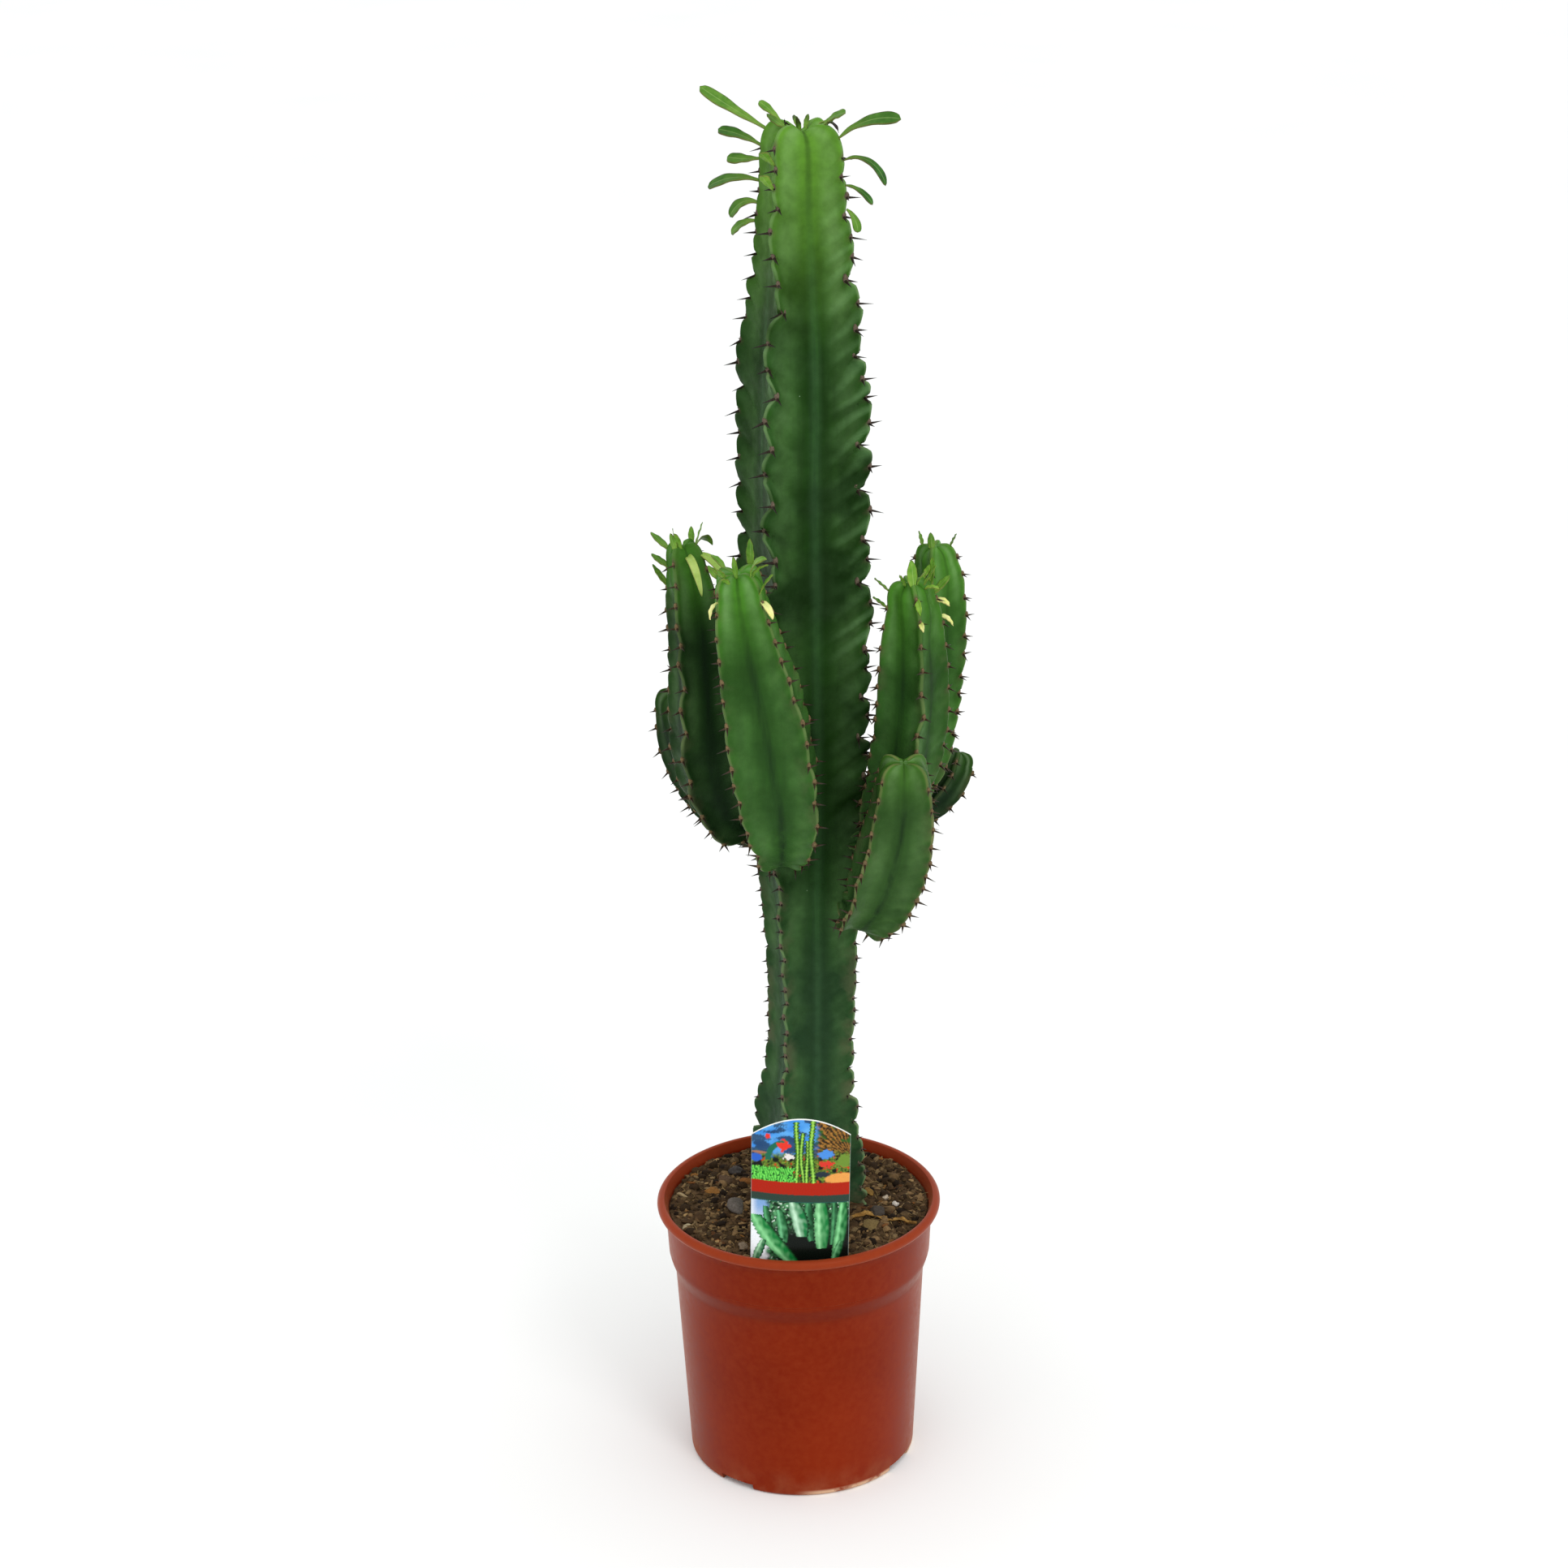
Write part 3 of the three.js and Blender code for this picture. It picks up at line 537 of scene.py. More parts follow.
def pot_plastic():
    """Thin moulded plastic, terracotta coloured: fine texture, handling scuffs, dust at the foot,
    painted shade under the collar and a painted highlight on the lip.
    """
    plastic = Finish("terracotta_plastic", IOR=1.2, Specular_Tint=srgb("FFC8A4"), Sheen_Weight=0.16,
                     Sheen_Roughness=0.35, Sheen_Tint=srgb("FFB482"))
    place = plastic.place()
    parts = plastic.node("ShaderNodeSeparateXYZ", Vector=place)
    height = parts.outputs["Z"]
    broad = plastic.group(MOTTLE, Place=place, Scale=9.0, Detail=3.0, Low=0.35, High=0.7)
    fine = plastic.group(MOTTLE, Place=place, Scale=260.0, Detail=6.0, Low=0.3, High=0.75)
    red = plastic.mix(broad, srgb("711903"), srgb("812206"))
    red = plastic.mix(plastic.times(fine, 0.2), red, srgb("96401C"))
    # Painted shade on the step just under the collar.
    under_collar_shade = plastic.minus(
        plastic.between(height, (STEP_BOTTOM - 3) * MM, (STEP_BOTTOM + 3) * MM),
        plastic.between(height, (COLLAR_BOTTOM - 2) * MM, (COLLAR_BOTTOM + 2) * MM))
    red = plastic.mix(plastic.times(under_collar_shade, 0.36), red, srgb("581203"))
    # Painted highlight on the rolled lip and on everything above its foot.
    lip_highlight = plastic.between(height, (LIP_BOTTOM - 0.8) * MM, (LIP_BOTTOM + 1.4) * MM)
    red = plastic.mix(plastic.times(lip_highlight, 0.36), red, srgb("A64A2A"))
    scuffs = plastic.group(FLECKS, Place=place, Scale=210.0, Size=0.1, Share=0.975)
    red = plastic.mix(plastic.times(scuffs, 0.5), red, srgb("C08870"))
    low = plastic.minus(1.0, plastic.math("DIVIDE", height, 0.022), clamp=True)
    dust = plastic.times(plastic.math("POWER", low, 1.4), plastic.group(
        MOTTLE, Place=place, Scale=60.0, Detail=7.0, Low=0.42, High=0.7))
    red = plastic.mix(plastic.times(dust, 0.4), red, srgb("A87050"))
    foot = plastic.minus(1.0, plastic.between(height, 0.0022, 0.0045))
    rubbed = plastic.times(foot, plastic.between(parts.outputs["X"], -0.006, 0.012))
    red = plastic.mix(plastic.times(rubbed, plastic.group(
        MOTTLE, Place=place, Scale=150.0, Detail=5.0, Low=0.3, High=0.5)), red, srgb("D2AC8C"))
    plastic.colour(red)
    plastic.roughness(plastic.plus(0.3, plastic.plus(plastic.times(fine, 0.12), plastic.times(dust, 0.3))))
    grain = plastic.node("ShaderNodeTexNoise", Vector=place, Scale=1400.0, Detail=2.0)
    plastic.relief(grain.outputs["Fac"], 0.18, 0.0002)
    return plastic.material


def soil_finish():
    """Moist dark peat with crumbs of several browns."""
    soil = Finish("potting_soil", roughness=0.95, IOR=1.2)
    place = soil.place()
    clods = soil.group(MOTTLE, Place=place, Scale=130.0, Detail=8.0, Low=0.36, High=0.66)
    fine = soil.group(MOTTLE, Place=place, Scale=700.0, Detail=5.0, Low=0.35, High=0.68)
    brown = soil.mix(clods, srgb("20160D"), srgb("584430"))
    brown = soil.mix(soil.times(fine, 0.45), brown, srgb("6E5739"))
    grit = soil.group(FLECKS, Place=place, Scale=650.0, Size=0.22, Share=0.9)
    brown = soil.mix(soil.times(grit, 0.7), brown, srgb("A08A66"))
    soil.colour(brown)
    lumps = soil.node("ShaderNodeTexNoise", Vector=place, Scale=900.0, Detail=8.0)
    soil.relief(lumps.outputs["Fac"], 0.8, 0.0012)
    return soil.material


def crumb_finish():
    """Crumbs, bark and stones, each tinted by its own colour."""
    crumb = Finish("soil_bits", roughness=0.9, IOR=1.2)
    place = crumb.place()
    fine = crumb.group(MOTTLE, Place=place, Scale=800.0, Detail=5.0, Low=0.3, High=0.7)
    tint = crumb.attribute_colour("tint")
    crumb.colour(crumb.mix(crumb.times(fine, 0.45), tint, srgb("1E140C")))
    crumb.relief(fine, 0.5, 0.0005)
    return crumb.material


def label_finish():
    """Printed plastic card: the picture on the front, plain white card behind."""
    card = Finish("label_card", roughness=0.28, IOR=1.22)
    place = card.place()
    print_grain = card.group(MOTTLE, Place=place, Scale=1600.0, Detail=3.0, Low=0.3, High=0.7)
    ink = card.attribute_colour("picture")
    card.colour(card.mix(card.times(print_grain, 0.16), ink, srgb("101810")))
    card.roughness(card.plus(0.22, card.times(print_grain, 0.1)))
    return card.material


def floor_finish():
    paper = Finish("studio_paper", roughness=0.8, Specular_IOR_Level=0.1)
    grain = paper.group(MOTTLE, Place=paper.place(), Scale=3.0, Detail=2.0, Low=0.2, High=0.8)
    paper.colour(paper.mix(grain, srgb("F3F5F4"), srgb("F8F9F8")))
    return paper.material


TRUNK_SKIN = stem_skin(
    "trunk_skin", deep="142E0B", mid="295419", pale="648C5A", tip="60942F", stripe="3C5E3C",
    crest="7C9866", stripe_width=0.2, stripe_strength=0.5, shine=1.11)
ARM_SKIN = stem_skin(
    "arm_skin", deep="244812", mid="3A6C22", pale="56803A", tip="488224", stripe="0E2207",
    crest="7C8A58", stripe_width=0.2, stripe_strength=1.1, shine=1.13)
SHADED_ARM_SKIN = stem_skin(
    "shaded_arm_skin", deep="122808", mid="20430F", pale="3A6426", tip="488224", stripe="081604",
    crest="6C7C50", stripe_width=0.3, stripe_strength=1.1, shine=1.12)
# A lighter copy of the arm skin: painted light on the rear right arm, which stands in shade.
LIT_REAR_ARM_SKIN = stem_skin(
    "lit_rear_arm_skin", deep="2B5417", mid="437C28", pale="588A3C", tip="4E882A", stripe="142C0A",
    crest="7C8A58", stripe_width=0.16, stripe_strength=1.0, shine=1.13)
SHORT_ARM_SKIN = stem_skin(
    "short_arm_skin", deep="284816", mid="3C6426", pale="587C3E", tip="426E26", stripe="0E2207",
    crest="8A8458", stripe_width=0.18, stripe_strength=1.1, shine=1.13)
# A darker copy of the arm skin for the two short rear arms: partly their own darker green, partly painted
# shade.
DARK_SHADED_ARM_SKIN = stem_skin(
    "dark_shaded_arm_skin", deep="0B1B06", mid="18310F", pale="2C4A22", tip="2A4C1A", stripe="081604",
    crest="5A6844", stripe_width=0.3, stripe_strength=1.1, shine=1.06)
TRUNK_HORN = horn("trunk_horn", srgb("665848"), srgb("33261B"), srgb("100B08"))
ARM_HORN = horn("arm_horn", srgb("74603F"), srgb("463421"), srgb("1A110B"))
LEAF_FLESH = leaf_finish()
TERRACOTTA = pot_plastic()
SOIL = soil_finish()
SOIL_BITS = crumb_finish()
LABEL_CARD = label_finish()

# ---------------------------------------------------------------- stems


def along_points(points, share):
    """A smooth curve through the points, at a share of the way counted span by span."""
    spans = len(points) - 1
    x = min(1.0, max(0.0, share)) * spans
    i = min(int(x), spans - 1)
    t = x - i
    b, c = points[i], points[i + 1]
    a = points[i - 1] if i else 2 * b - c
    d = points[i + 2] if i + 2 <= spans else 2 * c - b
    return 0.5 * (2 * b + (c - a) * t + (2 * a - 5 * b + 4 * c - d) * t ** 2
                  + (3 * b - a - 3 * c + d) * t ** 3)


class Place:
    """Where a stem is at one distance from its root: its centre, frame and rib reach."""

    def __init__(self, centre, along, heading, reach, bearing):
        self.centre, self.along, self.reach = centre, along, reach
        side = heading_vector(heading + 90)
        self.out = side.cross(along).normalized()
        self.across = along.cross(self.out).normalized()
        self.turn = math.radians(bearing - heading)

    def directions(self, rib):
        """Outwards along that rib, and sideways from it."""
        turn = self.turn + math.radians(360 / RIBS * rib)
        out = self.out * math.cos(turn) + self.across * math.sin(turn)
        return out, self.along.cross(out).normalized()


class Stem:
    """A ribbed stem, with a tooth at each pair of spines along its ribs. The middle of its dome
    sinks in by the share dip, and its valleys fill out by the share fill towards the tip."""

    def __init__(self, name, stations, heading, dome, dip, fill, pitch, sway, notch, seed):
        self.name, self.heading, self.dome, self.dip, self.fill = name, heading, dome, dip, fill
        self.stations = [Vector(station) for station in stations]
        self.table = [0.0]
        self.shares = [i / 500 for i in range(501)]
        last = Vector(self.stations[0][:3])
        for share in self.shares[1:]:
            point = Vector(along_points(self.stations, share)[:3])
            self.table.append(self.table[-1] + (point - last).length)
            last = point
        self.length = self.table[-1]
        self.teeth = [self.make_teeth(rib, pitch, sway, notch, random.Random(seed * 10 + rib))
                      for rib in range(RIBS)]
        self.tooth_distances = [[tooth[0] for tooth in teeth] for teeth in self.teeth]

    def at(self, distance):
        distance = min(self.length, max(0.0, distance))
        i = min(len(self.table) - 1, max(1, bisect_left(self.table, distance)))
        step = (distance - self.table[i - 1]) / max(1e-9, self.table[i] - self.table[i - 1])
        share = self.shares[i - 1] + (self.shares[i] - self.shares[i - 1]) * step
        here = along_points(self.stations, share)
        low = along_points(self.stations, max(0.0, share - 0.004))
        high = along_points(self.stations, min(1.0, share + 0.004))
        along = (Vector(high[:3]) - Vector(low[:3])).normalized()
        return Place(Vector(here[:3]), along, self.heading, here[3], here[4])

    def make_teeth(self, rib, pitch, sway, notch, dice):
        """Teeth from the root up: [distance from the root, sideways sway, depth of the notch,
        how far the edge swells below it, strength of its folds]."""
        teeth = []
        side = 1 if rib % 2 else -1
        distance = self.length + self.dome * 0.55 - pitch(self.length) * (0.25 + 0.5 * (rib % 2))
        while distance > -20:
            fresh = ease(12, 95, self.length + self.dome - distance)
            wander = side * dice.uniform(0.3, 1.0) * sway(distance) * (0.15 + 0.85 * fresh) * RIB_SWAY[rib]
            deep = dice.random() < 0.25
            depth = notch(distance) * (dice.uniform(1.5, 2.3) if deep else dice.uniform(0.4, 1.2))
            teeth.append((distance, wander, depth * (0.35 + 0.65 * fresh),
                          dice.uniform(-0.4, 1.0) * fresh * notch(distance) * 0.5, dice.uniform(0.1, 1.0)))
            if dice.random() < 0.82:
                side = -side
            distance -= pitch(distance) * dice.uniform(0.84, 1.16)
        return teeth[::-1]

    def margin(self, rib, distance):
        """The rib edge's sway and inset at a distance, how far down it is from the tooth above
        to the next one below, from 0 to 1, its distance to the nearest tooth, and the strength
        of the folds there."""
        teeth, distances = self.teeth[rib], self.tooth_distances[rib]
        i = bisect_left(distances, distance)
        if i == 0 or i == len(teeth):
            tooth = teeth[0 if i == 0 else -1]
            return tooth[1], tooth[2] * 0.4, 0.5, abs(distance - tooth[0]), 0.3
        lower, upper = teeth[i - 1], teeth[i]
        down = (upper[0] - distance) / (upper[0] - lower[0])
        sway = upper[1] + (lower[1] - upper[1]) * ease(0, 1, down ** 0.65)
        inset = upper[2] * (1 - ease(0.02, 0.24, down)) + lower[2] * (
            0.3 * ease(0.3, 0.8, down) + 0.7 * ease(0.78, 1.0, down)) - upper[3] * math.sin(math.pi * down)
        strength = upper[4] + (lower[4] - upper[4]) * down
        return sway, inset, down, min(upper[0] - distance, distance - lower[0]), strength


def half_profile(reach, valley, margin):
    """From the rib's edge to the valley: [share of the way in, outwards, sideways]."""
    points = []
    for step in range(CREST_STEPS + 1):
        turn = math.pi / 2 * step / CREST_STEPS
        points.append((CREST_SHARE * step / CREST_STEPS,
                       reach - margin * (1 - math.cos(turn)), margin * math.sin(turn)))
    foot = valley / math.sqrt(2)
    start = Vector((reach - margin, margin))
    end = Vector((foot, foot))
    lead = start + Vector((-0.25 * reach, 0.03 * reach))
    tail = end + Vector((0.13 * reach, -0.13 * reach))
    for step in range(1, FLANK_STEPS + 1):
        t = step / FLANK_STEPS
        point = ((1 - t) ** 3 * start + 3 * t * (1 - t) ** 2 * lead
                 + 3 * t ** 2 * (1 - t) * tail + t ** 3 * end)
        points.append((CREST_SHARE + (1 - CREST_SHARE) * t, point.x, point.y))
    return points


def dome_shape(stem, rise):
    """Reach and height of the rib's edge, and height of the valley, at a share of the way to
    the crown."""
    reach = math.cos(math.pi / 2 * rise) ** 0.7 if rise < 1 else 0.0
    edge_height = math.sin(math.pi / 2 * min(1.0, rise / 0.75)) - stem.dip * ease(0.78, 1.0, rise)
    valley_height = (1 - stem.dip) * math.sin(math.pi / 2 * rise) ** 0.8
    return reach, stem.dome * edge_height, stem.dome * valley_height


def stem_piece(stem, material, start, fold_depth, aged, fresh_length):
    """The stem's skin, from a distance up its line to the tip of its dome. Its attributes say how
    far in from a rib's edge each place is, and how folded, young, spiny and aged it is."""
    columns_per_rib = 2 * (CREST_STEPS + FLANK_STEPS)
    half = columns_per_rib // 2
    columns = RIBS * columns_per_rib
    stem_rows = math.ceil((stem.length - start) / ROW_STEP)
    rows = 1 + stem_rows + DOME_ROWS
    bm = bmesh.new()
    bmesh.ops.create_grid(bm, x_segments=columns, y_segments=rows, size=1)
    layers = {key: bm.verts.layers.float.new(key) for key in ("inward", "fold", "youth", "shield", "age")}
    rings = {}
    for v in bm.verts:
        column = round((v.co.x + 1) / 2 * columns) % columns
        row = round((v.co.y + 1) / 2 * rows)
        rings.setdefault(row, []).append((v, column))
    for row, ring in rings.items():
        rise = max(0.0, (row - 1 - stem_rows) / DOME_ROWS)
        distance = min(stem.length, start + (stem.length - start) * max(0, row - 1) / stem_rows)
        place = stem.at(distance)
        shrink, edge_height, valley_height = dome_shape(stem, rise)
        reach = place.reach * shrink
        plump = VALLEY_SHARE + stem.fill * ease(-26, 0, distance - stem.length)
        valley = place.reach * plump * math.cos(math.pi / 2 * rise)
        profile = half_profile(reach, valley, min(MARGIN_HALF_THICKNESS, 0.3 * reach))
        directions = [place.directions(rib) for rib in range(RIBS)]
        folds = fold_depth(distance)
        way = distance + (stem.dome * math.sin(math.pi / 2 * rise) if rise else 0.0)
        below_tip = stem.length + stem.dome - way
        calm = 1 - ease(0.3, 1.0, rise)
        for v, column in ring:
            rib = (column + half) // columns_per_rib % RIBS
            signed = (column + half) % columns_per_rib - half
            share, outward, sideways = profile[abs(signed)]
            side = 1 if signed > 0 else -1
            out, across = directions[rib]
            sway, inset, down, gap, strength = stem.margin(rib, way + FOLD_CLIMB * (reach - outward))
            drift = 0.3 * rough(place.centre + out * 30 + across * side * 12 * share, 19, rib)
            wave = math.sin(2 * math.pi * (down - 0.12 + drift)) * calm * strength * FOLD_DEPTHS[side]
            swell = folds * wave * 6 * share * max(0.0, 0.8 - share)
            outward -= inset * (1 - share) ** 2.2 * calm
            sideways = side * (sideways + swell) + sway * (1 - share) ** 1.5 * calm
            height = valley_height + (edge_height - valley_height) * (1 - share) ** 1.2
            point = place.centre + out * outward + across * sideways + place.along * height
            point += out * (0.6 * rough(point, 23, stem.length) + 0.2 * rough(point, 6, 3.0)) * calm
            if row == 0 or rise >= 1:
                point = place.centre + place.along * (height if rise else 0.0)
            v.co = point
            v[layers["inward"]] = share
            v[layers["fold"]] = wave * min(1.0, folds) * (1 - share) ** 0.7 * ease(0.0, 0.4, 0.85 - share)
            v[layers["youth"]] = max(0.0, 1 - below_tip / fresh_length) ** 1.5
            v[layers["shield"]] = max(0.0, 1 - gap / 2.4) * max(0.0, 1 - share / 0.16) * calm
            v[layers["age"]] = aged * max(0.0, 1 - distance / 330)
    bmesh.ops.remove_doubles(bm, verts=bm.verts, dist=1e-4)
    bmesh.ops.recalc_face_normals(bm, faces=bm.faces)
    return finish_piece(stem.name + "_skin", bm, material, [stem.name])


# Spines: a corky shield on the rib's edge, with two spines that spread from its lower end.
SHIELD_SIZE = (1.5, 1.35, 2.5)
SPINE_FOOT_RADIUS = 0.85
SPINE_SIDES = 6


def spine_pairs(stem, material, spine_length, lowest, dice):
    """The shields and spines at the stem's teeth, from a lowest distance up its line."""
    bm = bmesh.new()
    spine_share = bm.verts.layers.float.new("spine")
    for rib in range(RIBS):
        for distance, sway, notch, _, _ in stem.teeth[rib]:
            if not lowest < distance < stem.length + 0.5 * stem.dome:
                continue
            rise = max(0.0, (distance - stem.length) / stem.dome)
            place = stem.at(distance)
            out, across = place.directions(rib)
            reach = place.reach * (1 - rise ** 2) ** 0.3
            edge = (place.centre + out * (reach - notch + 0.3) + across * sway
                    + place.along * stem.dome * rise)
            length = spine_length(distance)
            size = dice.uniform(0.85, 1.15) * (0.75 + 0.25 * ease(0, 60, stem.length - distance))
            size *= 0.55 + 0.45 * min(1.0, length / 8)
            turn_to_rib = Matrix((out, across, place.along)).transposed()
            knob = bmesh.ops.create_uvsphere(bm, u_segments=7, v_segments=5, radius=1)["verts"]
            for v in knob:
                shape = Vector(a * b * size for a, b in zip(v.co, SHIELD_SIZE))
                shape *= 1 + 0.22 * rough(edge + v.co * 3, 1.7, 5.0)
                v[spine_share] = 0.12 * max(0.0, -v.co.z)
                v.co = edge + turn_to_rib @ shape
            for side in (-1, 1):
                grown = 0.72 + 0.28 * ease(0, 50, stem.length - distance)
                reach_out = dice.uniform(0.75, 1.1) * length * grown
                spread = math.radians(dice.uniform(32, 58))
                dip = dice.uniform(-0.12, 0.42)
                aim = out * math.cos(spread) + across * side * math.sin(spread) - place.along * dip
                aim.normalize()
                foot = edge + across * side * 0.5 - place.along * 0.9 * size + out * 0.4
                turn = Vector((0, 0, 1)).rotation_difference(aim).to_matrix().to_4x4()
                middle = foot + aim * reach_out / 2
                cone = bmesh.ops.create_cone(
                    bm, cap_ends=True, segments=SPINE_SIDES, radius1=SPINE_FOOT_RADIUS * size, radius2=0.04,
                    depth=reach_out, matrix=Matrix.Translation(middle) @ turn)["verts"]
                for v in cone:
                    v[spine_share] = min(1.0, max(0.15, (v.co - foot).dot(aim) / reach_out))
    return finish_piece(stem.name + "_spines", bm, material)


# ---------------------------------------------------------------- leaves


def rib_edge(stem, rib, below):
    """A point on a rib's edge that far below the very tip, with the directions there."""
    distance = stem.length + stem.dome - below
    rise = max(0.0, (distance - stem.length) / stem.dome)
    place = stem.at(distance)
    out, _ = place.directions(rib)
    reach = place.reach * (1 - min(0.98, rise) ** 2) ** 0.3
    point = place.centre + out * reach + place.along * stem.dome * rise
    return point, out, place.along


def half_width(share, width, pointed):
    """From a narrow stalk that opens into a rounded spoon, to a slender pointed blade."""
    stalk = LEAF_STALK_SHARE * min(1.0, 0.6 + 2 * share)
    spoon = (1 - LEAF_STALK_SHARE) * (0.75 * ease(0.0, 0.95, share) + 0.25 * share)
    round_blade = (stalk + spoon) * math.sqrt(max(0.0, 1 - share ** 7))
    lance = math.sin(math.pi * min(1.0, 0.08 + 0.92 * share ** 0.85)) ** 0.8
    return width / 2 * (round_blade + (lance - round_blade) * pointed)


def leaf_blade(bm, layers, foot, out, along, shape, lime, pointed=0.0, withered=0.0):
    """One leaf, as a folded blade that bends along its length. Its shape is [length, rise,
    droop, width, roll]."""
    length, rise, droop, width, roll = shape
    side = out.cross(along).normalized()
    dice = random.Random(round(foot.z * 31 + foot.x * 7 + length * 3))
    twist = dice.uniform(-14, 14)
    grid = bmesh.ops.create_grid(bm, x_segments=LEAF_COLUMNS, y_segments=LEAF_ROWS, size=1)["verts"]
    rows = {}
    for v in grid:
        rows.setdefault(round((v.co.y + 1) / 2 * LEAF_ROWS), []).append((v, v.co.x))
    point = foot.copy()
    for row in range(LEAF_ROWS + 1):
        share = row / LEAF_ROWS
        angle = math.radians(rise - droop * share)
        ahead = out * math.cos(angle) + along * math.sin(angle)
        turn = Matrix.Rotation(math.radians(roll + twist * share), 3, ahead)
        across = turn @ side
        face = across.cross(ahead).normalized()
        half = max(0.05, half_width(share, width, pointed))
        fold = math.radians(LEAF_FOLD * (1 - 0.6 * share))
        for v, x in rows[row]:
            lift = abs(x) * half * math.tan(fold) - 0.25 * max(0.0, 1 - abs(x) * 4) * (1 - share)
            ripple = 0.2 * math.sin(share * 19 + x * 2) * x * x
            v.co = point + across * x * half + face * (lift + ripple)
            v[layers["edge"]] = abs(x)
            v[layers["out"]] = ease(0, 0.7, share)
            v[layers["lime"]] = lime
            v[layers["withered"]] = withered * ease(0.3, 0.75, share)
        point = point + ahead * length / LEAF_ROWS
    faces = list({f for v in grid for f in v.link_faces})
    bmesh.ops.solidify(bm, geom=faces, thickness=LEAF_THICKNESS)


def leaf_layers(bm):
    return {key: bm.verts.layers.float.new(key) for key in ("edge", "out", "lime", "withered")}


def leaf_piece(stem, index, leaf):
    """A leaf of the tables, rounded at its end on the trunk and pointed on the arms."""
    rib, below, length, rise, droop, width, roll, lime = leaf
    foot, out, along = rib_edge(stem, rib, below)
    foot -= out * LEAF_SUNK
    if stem is TRUNK:
        width, roll, pointed = width * TRUNK_LEAF_WIDTH, roll * TRUNK_LEAF_ROLL, 0.0
    else:
        width, pointed = width * ARM_LEAF_WIDTH, 0.8
    bm = bmesh.new()
    leaf_blade(bm, leaf_layers(bm), foot, out, along, (length, rise, droop, width, roll), lime, pointed)
    bmesh.ops.recalc_face_normals(bm, faces=bm.faces)
    return finish_piece(f"{stem.name}_leaf_{index}", bm, LEAF_FLESH,
                        [f"leaf_{stem.name}_{index}"])


# Small leaves round the trunk's growing point: [bearing they lean to, distance out, length,
# rise, droop, width, roll, lime, withered].
CROWN_LEAFLETS = (
    (-40, 2, 8, 84, 20, 3.4, 15, 0.6, 0.8), (-70, 6, 6, 80, 60, 2.4, 0, 0.3, 1.0),
    (-90, 8, 5, 62, -30, 2.2, 20, 0.3, 1.0), (72, 8, 17, 66, 150, 3.4, 10, 0.8, 1.0),
    (85, 12, 11, 48, 20, 4.5, 30, 0.7, 0.2), (-100, 9, 12, 30, -10, 4.5, -30, 0.5, 0.3),
    (150, 4, 8, 75, 20, 3.4, 0, 0.7, 0.5), (200, 6, 9, 65, 60, 3.4, 0, 0.7, 0.7),
)

# Small leaves on the arms besides those the solids show: [arm, rib or part way to the next,
# below the tip, how far in from the rib's reach, length, rise, droop, width, roll, lime].
SMALL_LEAVES = (
    ("arm_left", 0.5, 8, 7, 37, 30, 122, 5, 25, 1.3), ("arm_left", 0.2, 3, 4, 14, 70, 20, 3.4, 10, 0.9),
    ("arm_left", 3.4, 2, 5, 11, 75, -20, 3, 0, 0.8), ("arm_front_left", 0, 12, 0, 11, 0, 95, 4, 20, 2.0),
    ("arm_front_left", 0.5, 2, 6, 15, 78, 10, 3.6, 20, 0.7),
    ("arm_front_left", 0.2, 4, 4, 10, 60, 40, 3, 20, 0.9),
    ("arm_front_left", 1.2, 3, 3, 14, 62, 50, 3.6, -20, 0.9),
    ("arm_front_left", 3.6, 3, 4, 9, 65, 20, 3, 0, 0.8),
    ("arm_right", 0.4, 3, 5, 12, 66, 30, 3.6, 20, 0.8), ("arm_right", 0.8, 4, 4, 14, 48, -10, 3.4, 20, 0.9),
    ("arm_right", 3.5, 2, 4, 9, 70, 20, 3, 0, 0.8), ("arm_right", 0.6, 5, 3, 9, 30, 60, 3, 20, 1.0),
)


def small_leaves():
    """The leaves between the arms' ribs and beside their tips, as one piece."""
    bm = bmesh.new()
    layers = leaf_layers(bm)
    for arm, rib, below, inset, length, rise, droop, width, roll, lime in SMALL_LEAVES:
        foot, out, along = rib_edge(STEMS[arm], rib, below)
        foot -= out * (inset + LEAF_SUNK)
        leaf_blade(bm, layers, foot, out, along, (length, rise, droop, width, roll), lime, pointed=0.75)
    bmesh.ops.recalc_face_normals(bm, faces=bm.faces)
    return finish_piece("small_leaves", bm, LEAF_FLESH)


def crown_leaflets():
    """The young and withered leaflets in the middle of the trunk's top, as one piece."""
    bm = bmesh.new()
    layers = leaf_layers(bm)
    tip = TRUNK.at(TRUNK.length)
    for degrees, away, length, rise, droop, width, roll, lime, withered in CROWN_LEAFLETS:
        out = heading_vector(degrees)
        foot = tip.centre + out * away + tip.along * TRUNK.dome * (0.7 + 0.014 * away)
        shape = (length, rise, droop, width, roll)
        leaf_blade(bm, layers, foot, out, Vector((0, 0, 1)), shape, lime, pointed=0.7, withered=withered)
    bmesh.ops.recalc_face_normals(bm, faces=bm.faces)
    return finish_piece("crown_leaflets", bm, LEAF_FLESH)


# ---------------------------------------------------------------- pot


def arc(centre_radius, centre_height, size, start, end, steps):
    points = []
    for step in range(steps + 1):
        turn = math.radians(start + (end - start) * step / steps)
        points.append((centre_radius + size * math.cos(turn), centre_height + size * math.sin(turn)))
    return points


